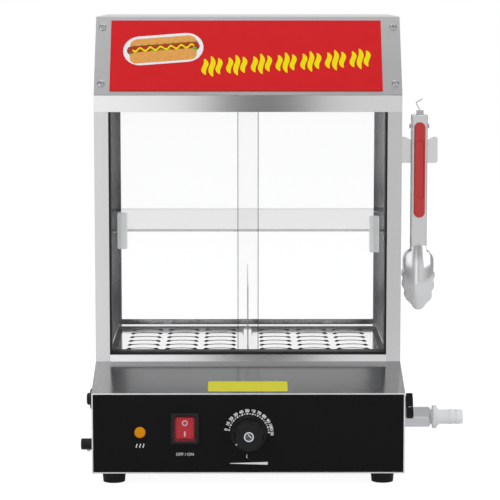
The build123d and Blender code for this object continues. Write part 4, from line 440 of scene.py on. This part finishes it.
def make_sign_marks(finish):
    """Seven steam marks of three waves each in yellow, and a plain picture of a filled bun."""
    for number in range(MARKS):
        waves = []
        for offset in WAVE_HEIGHT:
            ribbon = wave_ribbon(WAVE_HEIGHT[offset] * MM, WAVE_WIDTH, WAVE_SWING, 1.0,
                                 taper=WAVE_TAPER)
            waves.append([(offset * MM - y, x) for x, y in ribbon])
        x = FIRST_MARK.x + number * MARK_PITCH
        distance = FIRST_MARK.y + number * MARK_PITCH * math.tan(RISE)
        place = on_board(x, distance, SIGN_FACE, RISE)
        piece = outline_piece(f"steam_mark_{number}", waves, PRINT, finish["yellow"], place)
        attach(piece, "cabinet")
    # Name, outline, shift up the board in mm and finish, from the plate to the front.
    layers = (
        ("picture_plate", capsule_points(40 * MM, 96 * MM), 0, "white"),
        ("picture_bun_back", capsule_points(19 * MM, 80 * MM), 7, "cream"),
        ("picture_leaf", leaf_edge(84, 8, 2.2, 9), 3, "green"),
        ("picture_sausage", capsule_points(12 * MM, 87 * MM), 1, "brown"),
        ("picture_leaf_front", leaf_edge(80, 6, 1.8, 8), -4.5, "green"),
        ("picture_bun_front", capsule_points(15 * MM, 80 * MM), -9.5, "cream"),
        ("picture_sauce", leaf_edge(74, 2.6, 2.2, 6), 1.5, "yellow"),
    )
    for layer, (name, points, shift, material) in enumerate(layers):
        place = on_board(PICTURE[0], PICTURE[1] + shift * MM, SIGN_FACE + layer * PRINT / 4,
                         math.pi / 2 + PICTURE_TILT)
        printed(name, [points], material, place, thickness=PRINT)


# ---- Screws ----
HEAD_RINGS = 5
HEAD_COUNT = 40
HEAD_FLAT = 0.62              # share of a head's radius that its flat top keeps
CROSS_LENGTH = 1.15           # of the recess, as shares of the head's radius and height
CROSS_WIDTH = 0.26
CROSS_DEPTH = 1.2
SCREW_INSET = 15 * MM         # from the board's ends
SCREW_HEAD = 4.6 * MM
SCREW_HEIGHT = 2.3 * MM
SCREW_TURN = (20, 900)        # degrees: by side, and for each metre up the board


def cross_head(name, radius, height, material, place):
    """Pan head with a cross recess."""
    bm = bmesh.new()
    rows = []
    for ring in range(HEAD_RINGS + 1):
        lean = math.pi / 2 * ring / HEAD_RINGS
        r = radius * (HEAD_FLAT + (1 - HEAD_FLAT) * math.cos(lean))
        z = height * math.sin(lean)
        rows.append([bm.verts.new((x, y, z)) for x, y in circle_points(r, HEAD_COUNT)])
    base = [bm.verts.new((v.co.x, v.co.y, 0)) for v in rows[0]]
    rows.insert(0, base)
    for low, high in zip(rows, rows[1:]):
        for i in range(HEAD_COUNT):
            following = (i + 1) % HEAD_COUNT
            bm.faces.new((low[i], low[following], high[following], high[i]))
    bm.faces.new(rows[-1])
    bm.faces.new(base[::-1])
    bmesh.ops.remove_doubles(bm, verts=bm.verts, dist=radius * 0.001)
    head = mesh_object(name, bm, material, smooth=True)
    cut = bmesh.new()
    for turn in (0, math.pi / 2):
        size = Matrix.Diagonal((radius * CROSS_LENGTH, radius * CROSS_WIDTH,
                                height * CROSS_DEPTH, 1))
        bmesh.ops.create_cube(cut, size=1, matrix=Matrix.Rotation(turn, 4, "Z") @ size)
    cutter = mesh_object(name + "_cutter", cut, material)
    cutter.location = (0, 0, height)
    carve = head.modifiers.new("cross", "BOOLEAN")
    carve.object = cutter
    carve.solver = "EXACT"
    carve.use_self = True
    bpy.context.view_layer.update()
    graph = bpy.context.evaluated_depsgraph_get()
    mesh = bpy.data.meshes.new_from_object(head.evaluated_get(graph))
    head.modifiers.clear()
    head.data = mesh
    bpy.data.objects.remove(cutter)
    for polygon in mesh.polygons:
        polygon.use_smooth = False
    head.matrix_world = place
    return head


def make_sign_screws(finish):
    """Cross-head screws at the board's four corners."""
    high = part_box("sign_screws")[1]
    heads = []
    for side in (-1, 1):
        for distance in (SCREW_INSET, slope_line.length - SCREW_INSET):
            x = side * (high.x - SCREW_HEAD)
            turn = math.radians(SCREW_TURN[0] * side + SCREW_TURN[1] * distance)
            heads.append(cross_head(f"sign_screw_{len(heads)}", SCREW_HEAD, SCREW_HEIGHT,
                                    finish["zinc"], on_board(x, distance, 0.0, turn)))
    for head in heads:
        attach(head, "cabinet")
    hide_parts("sign_screws")


# ---- Dial, lamp and switch print ----
panel_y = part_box("control_panel")[0].y
knob_low, knob_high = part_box("thermostat_knob")
DIAL = Vector(((knob_low.x + knob_high.x) / 2, panel_y, (knob_low.z + knob_high.z) / 2))
skirt = (knob_high.x - knob_low.x) / 2


def write(name, text, size, place, material, body, bold=0.0):
    """Printed characters, centred on their place."""
    curve = bpy.data.curves.new(name, "FONT")
    curve.body = text
    curve.size = size
    curve.align_x = "CENTER"
    curve.align_y = "CENTER"
    curve.extrude = LETTER_INK
    curve.offset = bold
    curve.materials.append(material)
    piece = bpy.data.objects.new(name, curve)
    bpy.context.scene.collection.objects.link(piece)
    piece.matrix_world = place
    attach(piece, body)
    return piece


DIAL_FIRST = 170.0            # degrees of the first and the last number
DIAL_LAST = 3.0
DIAL_NUMBERS = 12
DIAL_COUNTS_BY = 10
NUMBER_SIZE = 4.9 * MM
NUMBER_BOLD = 0.2 * MM
NUMBER_CLEAR = 5.4 * MM       # from the knob's skirt to the numbers
DOT_CLEAR = 1.9 * MM
DOT = 1.1 * MM                # radius of a dot at a number, and of one between
SMALL_DOT = 0.75 * MM


def round_the_dial(radius, angle):
    """Level and upright place at an angle round the dial."""
    return DIAL.x + radius * math.cos(angle), DIAL.z + radius * math.sin(angle)


def make_dial_print(finish):
    """Numbers by tens round the knob, a dot for each and one between."""
    step = (DIAL_FIRST - DIAL_LAST) / (DIAL_NUMBERS - 1)
    for label in range(DIAL_NUMBERS):
        angle = math.radians(DIAL_FIRST - step * label)
        x, z = round_the_dial(skirt + NUMBER_CLEAR, angle)
        write(f"dial_number_{label}", str(label * DIAL_COUNTS_BY), NUMBER_SIZE,
              facing(x, panel_y - INK, z, angle - math.pi / 2), finish["white"], "cabinet",
              bold=NUMBER_BOLD)
    for mark in range(2 * DIAL_NUMBERS - 1):
        angle = math.radians(DIAL_FIRST - step * mark / 2)
        x, z = round_the_dial(skirt + DOT_CLEAR, angle)
        size = DOT if mark % 2 == 0 else SMALL_DOT
        dot = outline_piece(f"dial_dot_{mark}", [circle_points(size, 16)], INK,
                            finish["white"], facing(x, panel_y, z))
        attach(dot, "cabinet")


POINTER_ANGLE = math.radians(221)
POINTER_INSET = 2.0 * MM      # from the skirt's rim
POINTER = 0.9 * MM
POINTER_INK = 0.1 * MM
CAP_RIM_INSET = 0.8 * MM
CAP_RIM_WIDTH = 1.3 * MM
CAP_LIP = (6.0 * MM, 1.0 * MM, 0.4 * MM)        # width, height and rounding
CAP_LIP_RISE = 1.3 * MM
CAP_LIP_TURN = -math.radians(45)
CAP_SINK = 0.02 * MM


def make_pointer():
    """White dot on the knob's skirt, and the bright rim and lip of the knob's cap."""
    x, z = round_the_dial(skirt - POINTER_INSET, POINTER_ANGLE)
    printed("knob_pointer", [circle_points(POINTER, 20)], "white",
            lying_on("thermostat_knob", x, z, 0), "thermostat_dial",
            thickness=POINTER_INK)
    cap_low, cap_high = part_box("knob_cap")
    cap_radius = (cap_high.x - cap_low.x) / 2
    cap_y = cap_low.y + CAP_SINK
    printed("knob_cap_rim", flat_ring(cap_radius - CAP_RIM_INSET, CAP_RIM_WIDTH), "bright",
            facing(DIAL.x, cap_y, DIAL.z), "thermostat_dial")
    lip = [(x, y + CAP_LIP_RISE) for x, y in rounded_points(*CAP_LIP)]
    printed("knob_cap_lip", [lip], "bright", facing(DIAL.x, cap_y, DIAL.z, CAP_LIP_TURN),
            "thermostat_dial")


def arc_outline(radius, width, start, end, count=20):
    """Outline of a flat arc, in degrees."""
    angles = [math.radians(start + (end - start) * i / count) for i in range(count + 1)]
    outside = radius + width / 2
    inside = radius - width / 2
    outer = [(outside * math.cos(a), outside * math.sin(a)) for a in angles]
    inner = [(inside * math.cos(a), inside * math.sin(a)) for a in angles]
    return outer + inner[::-1]


def flat_ring(radius, width):
    """Outlines of the two halves of a ring."""
    return [arc_outline(radius, width, 0, 180), arc_outline(radius, width, 180, 360)]


ROCKER_MARK_RISE = 6.2 * MM   # from the rocker's middle
ROCKER_INK = 0.08 * MM
ROCKER_RING = (2.7 * MM, 1.5 * MM)              # radius and width
ROCKER_BAR = (1.9 * MM, 5.8 * MM, 0.4 * MM)     # width, height and rounding
WORD_SIZE = 5.0 * MM
WORD_DROP = 31.5 * MM         # below the rocker's middle
HEAT_WAVE = (4.6 * MM, 1.1 * MM, 0.6 * MM)      # length, width and swing
HEAT_PLACES = (-4, 0, 4)      # mm
HEAT_DROP = 9.5 * MM          # below the lamp
WEDGE_REACH = 22 * MM
WEDGE_THIN = 0.3 * MM
WEDGE_THICK = 1.7 * MM
WEDGE_DROP = 35.5 * MM        # below the dial's middle
TICK = (2.0 * MM, 0.7 * MM, 110, 250)           # radius, width, first and last degree
TICK_LEFT = 0.8 * MM
TICK_DROP = 27 * MM


def make_panel_print(finish):
    """Switch marks, and plain symbols under the lamp and the dial."""
    switch_low, switch_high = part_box("power_switch_rocker")
    switch_x = (switch_low.x + switch_high.x) / 2
    switch_z = (switch_low.z + switch_high.z) / 2
    for name, outlines, rise in (
            ("rocker_off", flat_ring(*ROCKER_RING), ROCKER_MARK_RISE),
            ("rocker_on", [rounded_points(*ROCKER_BAR)], -ROCKER_MARK_RISE)):
        printed(name, outlines, "white",
                lying_on("power_switch_rocker", switch_x, switch_z + rise, 0),
                "power_rocker", thickness=ROCKER_INK)
    write("switch_words", "OFF / ON", WORD_SIZE,
          facing(switch_x, panel_y - INK, switch_z - WORD_DROP), finish["white"], "cabinet")
    lamp_low, lamp_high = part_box("pilot_lamp_lens")
    lamp_x = (lamp_low.x + lamp_high.x) / 2
    heat = []
    for offset in HEAT_PLACES:
        heat.append([(offset * MM - y, x) for x, y in wave_ribbon(*HEAT_WAVE, 1.0)])
    printed("heat_symbol", heat, "white", facing(lamp_x, panel_y, lamp_low.z - HEAT_DROP))
    wedge = [(-WEDGE_REACH, -WEDGE_THIN), (WEDGE_REACH, -WEDGE_THICK),
             (WEDGE_REACH, WEDGE_THICK), (-WEDGE_REACH, WEDGE_THIN)]
    printed("dial_wedge", [wedge], "white", facing(DIAL.x, panel_y, DIAL.z - WEDGE_DROP))
    printed("dial_tick", [arc_outline(*TICK)], "white",
            facing(DIAL.x - TICK_LEFT, panel_y, DIAL.z - TICK_DROP))


# ---- Ledge label ----
LEDGE_FOOT = 109 * MM         # height of the ledge's front edge
LABEL = (93 * MM, 26.5 * MM, 2.5 * MM)          # width, height and rounding
LABEL_THICK = 0.12 * MM
LABEL_PLACE = 18.6 * MM       # up the slope to the label's middle
LABEL_LEFT = 0.6 * MM
LABEL_LIFT = 0.02 * MM


def make_label():
    """Plain yellow label stuck on the sloping ledge."""
    housing_low, housing_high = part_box("base_housing")
    foot = Vector((0, housing_low.y, LEDGE_FOOT))
    head = Vector((0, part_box("cabinet_side_left")[0].y, housing_high.z))
    slope = math.atan2(head.z - foot.z, head.y - foot.y)
    up = (head - foot).normalized()
    normal = Vector((0, -math.sin(slope), math.cos(slope)))
    middle = foot + up * LABEL_PLACE + normal * LABEL_LIFT + Vector((-LABEL_LEFT, 0, 0))
    place = Matrix.Translation(middle) @ Matrix.Rotation(slope, 4, "X")
    printed("ledge_label", [rounded_points(*LABEL)], "label", place, thickness=LABEL_THICK)


# ---- Tongs spring ----
SPRING_WIRE = 0.6 * MM        # radius
SPRING_TURNS = 6.5
SPRING_STEPS = 24             # points in a turn


def make_spring(finish):
    """Coil round the tongs' pin with a leg along each arm."""
    low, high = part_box("tongs_spring")
    wire = SPRING_WIRE
    middle = (low + high) / 2
    radius = (high.y - low.y) / 2 - wire
    centre_z = high.z - radius - wire
    half_length = (high.x - low.x) / 2 - wire
    count = round(SPRING_TURNS * SPRING_STEPS)
    points = [(middle.x - half_length, middle.y + radius, low.z + wire)]
    for i in range(count + 1):
        angle = 2 * math.pi * i / SPRING_STEPS
        x = middle.x - half_length + 2 * half_length * i / count
        points.append((x, middle.y + radius * math.cos(angle), centre_z + radius * math.sin(angle)))
    points.append((middle.x + half_length, middle.y - radius, low.z + wire))
    curve = bpy.data.curves.new("tongs_coil", "CURVE")
    curve.dimensions = "3D"
    curve.bevel_depth = wire
    curve.bevel_resolution = 3
    curve.use_fill_caps = True
    spline = curve.splines.new("POLY")
    spline.points.add(len(points) - 1)
    for point, place in zip(spline.points, points):
        point.co = (*place, 1)
    curve.materials.append(finish["zinc"])
    coil = bpy.data.objects.new("tongs_coil", curve)
    bpy.context.scene.collection.objects.link(coil)
    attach(coil, "tongs")
    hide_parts("tongs_spring")


# ---- Grate louvres ----
LOUVRE_COLUMNS = 3
LOUVRE_ROWS = 8
LOUVRE_INNER = 5.3 * MM       # plate left beside the inner column, without half a gap
LOUVRE_OUTER = 8.5 * MM
LOUVRE_GAP = 6.3 * MM         # between columns
LOUVRE_FRONT = 9.5 * MM
LOUVRE_BACK = 11.0 * MM
LOUVRE_ARCH = 9.5 * MM        # rise of the arch along the plate
LOUVRE_RUN = 3.2 * MM         # from the raised edge back to the plate
LOUVRE_CROWN = 0.4 * MM       # height of the raised edge at its crown
LOUVRE_FOOT = 0.95 * MM       # and how much higher it stands near its feet
LOUVRE_FOOT_PLACE = 0.84      # share of the half chord
LOUVRE_FOOT_SPREAD = 0.11
LOUVRE_TIP = 0.08             # share of the half chord over which its ends taper off
LOUVRE_LEAST = 0.02 * MM
LOUVRE_STEPS = 28


def louvre_height(share):
    """Height of the raised edge at a share of the half chord."""
    foot = math.exp(-((abs(share) - LOUVRE_FOOT_PLACE) / LOUVRE_FOOT_SPREAD) ** 2)
    return (LOUVRE_CROWN + LOUVRE_FOOT * foot) * min(1.0, (1 - abs(share)) / LOUVRE_TIP)


def make_louvres(finish):
    """Raised edge behind each slot of the grates: a closed wedge whose upright front is painted
    shade, coloured near-black to stand for the open slot.
    """
    for side, node, body in ((-1, "grate_left", "left_grate"), (1, "grate_right", "right_grate")):
        low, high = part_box(node)
        inner = (low.x if side > 0 else high.x) + side * LOUVRE_INNER
        outer = (high.x if side > 0 else low.x) - side * LOUVRE_OUTER
        pitch = (outer - inner) / LOUVRE_COLUMNS
        half = (abs(pitch) - LOUVRE_GAP) / 2
        radius = (half * half + LOUVRE_ARCH * LOUVRE_ARCH) / (2 * LOUVRE_ARCH)
        first = low.y + LOUVRE_FRONT
        step = (high.y - LOUVRE_BACK - first) / (LOUVRE_ROWS - 1)
        bm = bmesh.new()
        for column in range(LOUVRE_COLUMNS):
            middle = inner + (column + 0.5) * pitch
            for row in range(LOUVRE_ROWS):
                feet = first + row * step
                sections = []
                for i in range(LOUVRE_STEPS + 1):
                    share = 2 * i / LOUVRE_STEPS - 1
                    x = share * half
                    y = feet + LOUVRE_ARCH - radius + math.sqrt(radius * radius - x * x)
                    rise = max(louvre_height(share), LOUVRE_LEAST)
                    sections.append([bm.verts.new((middle + x, y, high.z)),
                                     bm.verts.new((middle + x, y, high.z + rise)),
                                     bm.verts.new((middle + x, y + LOUVRE_RUN, high.z))])
                for a, b in zip(sections, sections[1:]):
                    for j in range(3):
                        bm.faces.new((a[j], a[(j + 1) % 3], b[(j + 1) % 3], b[j]))
                bm.faces.new(sections[0])
                bm.faces.new(sections[-1][::-1])
        bmesh.ops.recalc_face_normals(bm, faces=bm.faces)
        # The grate material colours the upright fronts near-black: painted shade in place of an
        # opening.
        piece = mesh_object(node + "_louvres", bm, finish["grate"])
        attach(piece, body)


# ---- Light and floor ----
FLOOR_GLOW = 1.22            # brightness of the white that the floor shows
FLOOR_SHARE = 0.75           # and its share over the lit floor, to the camera
FLOOR_MIRRORED = 0.2         # and in metal
FLOOR_REACH = 8.0
FLOOR_FRONT = -0.8
FLOOR_BACK = 12.0
FLOOR_DROP = 0.5 * MM         # under the feet
AMBIENT = 0.50
AMBIENT_COLOUR = (0.95, 0.97, 1.0, 1)
FLOOR_COLOUR = (0.86, 0.86, 0.86)
ROOM_BELOW = (0.9, 0.9, 0.9, 1)                 # straight down, and straight up
ROOM_ABOVE = (0.6, 0.6, 0.61, 1)
# The room is what metal and glass mirror. Its places are directions: Z, X or Y of a unit vector.
# Z of a direction and the level there:
ROOM = ((-0.2, 1.0), (0.2, 1.0), (0.45, 0.62), (0.7, 0.42), (0.89, 0.50))
BAND_PLACE = 0.0095           # upright dark band of the room in front of the cabinet
BAND_INNER = 0.015
BAND_OUTER = 0.030
BAND_LEVEL = 0.13
FRONT_LEFT = 1.12             # level of the room in front, left and right of the band
FRONT_RIGHT = 0.78
FRONT_REACH = 0.08
FRONT_Y = (-0.9, -0.7)        # from all of the front levels to none of them
SIDE_LEVEL = 0.45             # level of the room far out to both sides
SIDE_X = (0.3, 0.85)          # from full level to that one


def make_floor():
    """Pale floor that shows white to the camera and keeps the shadow."""
    bm = bmesh.new()
    corners = ((-FLOOR_REACH, FLOOR_FRONT), (FLOOR_REACH, FLOOR_FRONT),
               (FLOOR_REACH, FLOOR_BACK), (-FLOOR_REACH, FLOOR_BACK))
    bm.faces.new([bm.verts.new((x, y, -FLOOR_DROP)) for x, y in corners])
    material, tree, links = new_material("floor_white")
    bsdf = shader(tree, FLOOR_COLOUR, 0.0, 0.8, Specular_IOR_Level=0.0)
    glow = tree.new("ShaderNodeEmission")
    glow.inputs["Strength"].default_value = FLOOR_GLOW
    light_path = tree.new("ShaderNodeLightPath")
    parts = []
    for output, level in (("Is Camera Ray", FLOOR_SHARE), ("Is Glossy Ray", FLOOR_MIRRORED)):
        part = tree.new("ShaderNodeMath")
        part.operation = "MULTIPLY"
        part.inputs[1].default_value = level
        links.new(light_path.outputs[output], part.inputs[0])
        parts.append(part)
    share = tree.new("ShaderNodeMath")
    share.operation = "MAXIMUM"
    links.new(parts[0].outputs[0], share.inputs[0])
    links.new(parts[1].outputs[0], share.inputs[1])
    mix = tree.new("ShaderNodeMixShader")
    links.new(share.outputs[0], mix.inputs["Fac"])
    links.new(bsdf.outputs[0], mix.inputs[1])
    links.new(glow.outputs[0], mix.inputs[2])
    links.new(mix.outputs[0], tree["Material Output"].inputs["Surface"])
    mesh_object("floor", bm, material)


def make_world():
    """White studio: plain ambient light, white behind the object, and a room to mirror."""
    world = bpy.data.worlds.new("studio")
    bpy.context.scene.world = world
    world.use_nodes = True
    tree = world.node_tree.nodes
    links = world.node_tree.links
    tree.clear()
    output = tree.new("ShaderNodeOutputWorld")
    ambient = tree.new("ShaderNodeBackground")
    ambient.inputs["Color"].default_value = AMBIENT_COLOUR
    ambient.inputs["Strength"].default_value = AMBIENT
    seen = tree.new("ShaderNodeBackground")
    seen.inputs["Color"].default_value = (1, 1, 1, 1)
    seen.inputs["Strength"].default_value = 1.0
    behind = tree.new("ShaderNodeBackground")
    behind.inputs["Strength"].default_value = 1.0
    direction = tree.new("ShaderNodeTexCoord")
    split = tree.new("ShaderNodeSeparateXYZ")
    links.new(direction.outputs["Generated"], split.inputs[0])
    height = tree.new("ShaderNodeMapRange")
    height.inputs["From Min"].default_value = -1.0
    links.new(split.outputs["Z"], height.inputs["Value"])
    ramp = tree.new("ShaderNodeValToRGB")
    ramp.color_ramp.interpolation = "EASE"
    stops = ramp.color_ramp.elements
    stops[0].position = 0.0
    stops[1].position = 1.0
    stops[0].color = ROOM_BELOW
    stops[1].color = ROOM_ABOVE
    for rise, level in ROOM:
        stop = stops.new((rise + 1) / 2)
        stop.color = (level, level, level, 1)
    links.new(height.outputs["Result"], ramp.inputs["Fac"])
    offset = tree.new("ShaderNodeMath")
    offset.operation = "SUBTRACT"
    offset.inputs[1].default_value = BAND_PLACE
    links.new(split.outputs["X"], offset.inputs[0])
    distance = tree.new("ShaderNodeMath")
    distance.operation = "ABSOLUTE"
    links.new(offset.outputs[0], distance.inputs[0])
    band = tree.new("ShaderNodeMapRange")
    band.interpolation_type = "SMOOTHSTEP"
    band.inputs["From Min"].default_value = BAND_INNER
    band.inputs["From Max"].default_value = BAND_OUTER
    band.inputs["To Min"].default_value = BAND_LEVEL
    links.new(distance.outputs[0], band.inputs["Value"])
    sideways = tree.new("ShaderNodeMapRange")
    sideways.inputs["From Min"].default_value = -FRONT_REACH
    sideways.inputs["From Max"].default_value = FRONT_REACH
    sideways.inputs["To Min"].default_value = FRONT_LEFT
    sideways.inputs["To Max"].default_value = FRONT_RIGHT
    links.new(split.outputs["X"], sideways.inputs["Value"])
    front_level = tree.new("ShaderNodeMath")
    front_level.operation = "MULTIPLY"
    links.new(band.outputs["Result"], front_level.inputs[0])
    links.new(sideways.outputs["Result"], front_level.inputs[1])
    in_front = tree.new("ShaderNodeMapRange")
    in_front.inputs["From Min"].default_value = FRONT_Y[0]
    in_front.inputs["From Max"].default_value = FRONT_Y[1]
    in_front.inputs["To Min"].default_value = 1.0
    in_front.inputs["To Max"].default_value = 0.0
    links.new(split.outputs["Y"], in_front.inputs["Value"])
    spot = tree.new("ShaderNodeMix")
    links.new(in_front.outputs["Result"], spot.inputs["Factor"])
    spot.inputs["A"].default_value = 1.0
    links.new(front_level.outputs[0], spot.inputs["B"])
    outward = tree.new("ShaderNodeMath")
    outward.operation = "ABSOLUTE"
    links.new(split.outputs["X"], outward.inputs[0])
    side = tree.new("ShaderNodeMapRange")
    side.interpolation_type = "SMOOTHSTEP"
    side.inputs["From Min"].default_value = SIDE_X[0]
    side.inputs["From Max"].default_value = SIDE_X[1]
    side.inputs["To Min"].default_value = 1.0
    side.inputs["To Max"].default_value = SIDE_LEVEL
    links.new(outward.outputs[0], side.inputs["Value"])
    around = tree.new("ShaderNodeMath")
    around.operation = "MULTIPLY"
    links.new(spot.outputs["Result"], around.inputs[0])
    links.new(side.outputs["Result"], around.inputs[1])
    shade = tree.new("ShaderNodeMix")
    shade.data_type = "RGBA"
    shade.blend_type = "MULTIPLY"
    shade.inputs["Factor"].default_value = 1.0
    links.new(ramp.outputs["Color"], shade.inputs["A"])
    links.new(around.outputs[0], shade.inputs["B"])
    links.new(shade.outputs["Result"], behind.inputs["Color"])
    light_path = tree.new("ShaderNodeLightPath")
    straight = tree.new("ShaderNodeMath")
    straight.operation = "MAXIMUM"
    links.new(light_path.outputs["Is Camera Ray"], straight.inputs[0])
    links.new(light_path.outputs["Is Transmission Ray"], straight.inputs[1])
    mirrored = tree.new("ShaderNodeMixShader")
    links.new(light_path.outputs["Is Glossy Ray"], mirrored.inputs["Fac"])
    links.new(ambient.outputs[0], mirrored.inputs[1])
    links.new(behind.outputs[0], mirrored.inputs[2])
    mix = tree.new("ShaderNodeMixShader")
    links.new(straight.outputs[0], mix.inputs["Fac"])
    links.new(mirrored.outputs[0], mix.inputs[1])
    links.new(seen.outputs[0], mix.inputs[2])
    links.new(mix.outputs[0], output.inputs["Surface"])


# Name, place, target, size and power of each lamp.
LAMPS = (
    ("key", (-1.4, -2.0, 2.0), (0, 0, 0.25), (1.6, 1.2), 22),
    ("fill", (1.8, -1.6, 1.2), (0, 0, 0.25), (1.4, 1.4), 9),
    ("top", (0, 0.2, 2.4), (0, 0, 0.2), (1.6, 1.6), 12),
)


def make_lamp(name, place, target, size, power):
    """Soft rectangular lamp aimed at a point."""
    light = bpy.data.lights.new(name, "AREA")
    light.shape = "RECTANGLE"
    light.size = size[0]
    light.size_y = size[1]
    light.energy = power
    lamp = bpy.data.objects.new(name, light)
    lamp.location = place
    lamp.rotation_euler = (Vector(target) - Vector(place)).to_track_quat("-Z", "Y").to_euler()
    bpy.context.scene.collection.objects.link(lamp)


def make_camera():
    """Camera that repeats the photograph's view."""
    data = bpy.data.cameras.new("camera")
    data.sensor_width = SENSOR
    data.lens = FOCAL / IMAGE * SENSOR
    camera = bpy.data.objects.new("camera", data)
    camera.location = EYE
    camera.rotation_euler = (math.pi / 2 - PITCH, 0, YAW)
    bpy.context.scene.collection.objects.link(camera)
    bpy.context.scene.camera = camera


# ---- Put it together ----
make_camera()
finish = make_materials()
for node, name in FINISH.items():
    target = nodes[node]
    target.data.materials.clear()
    target.data.materials.append(finish[name])
make_sign_marks(finish)
make_sign_screws(finish)
make_dial_print(finish)
make_panel_print(finish)
make_pointer()
make_label()
make_spring(finish)
make_louvres(finish)
make_floor()
make_world()
for lamp in LAMPS:
    make_lamp(*lamp)
bpy.context.scene.view_settings.view_transform = "Standard"
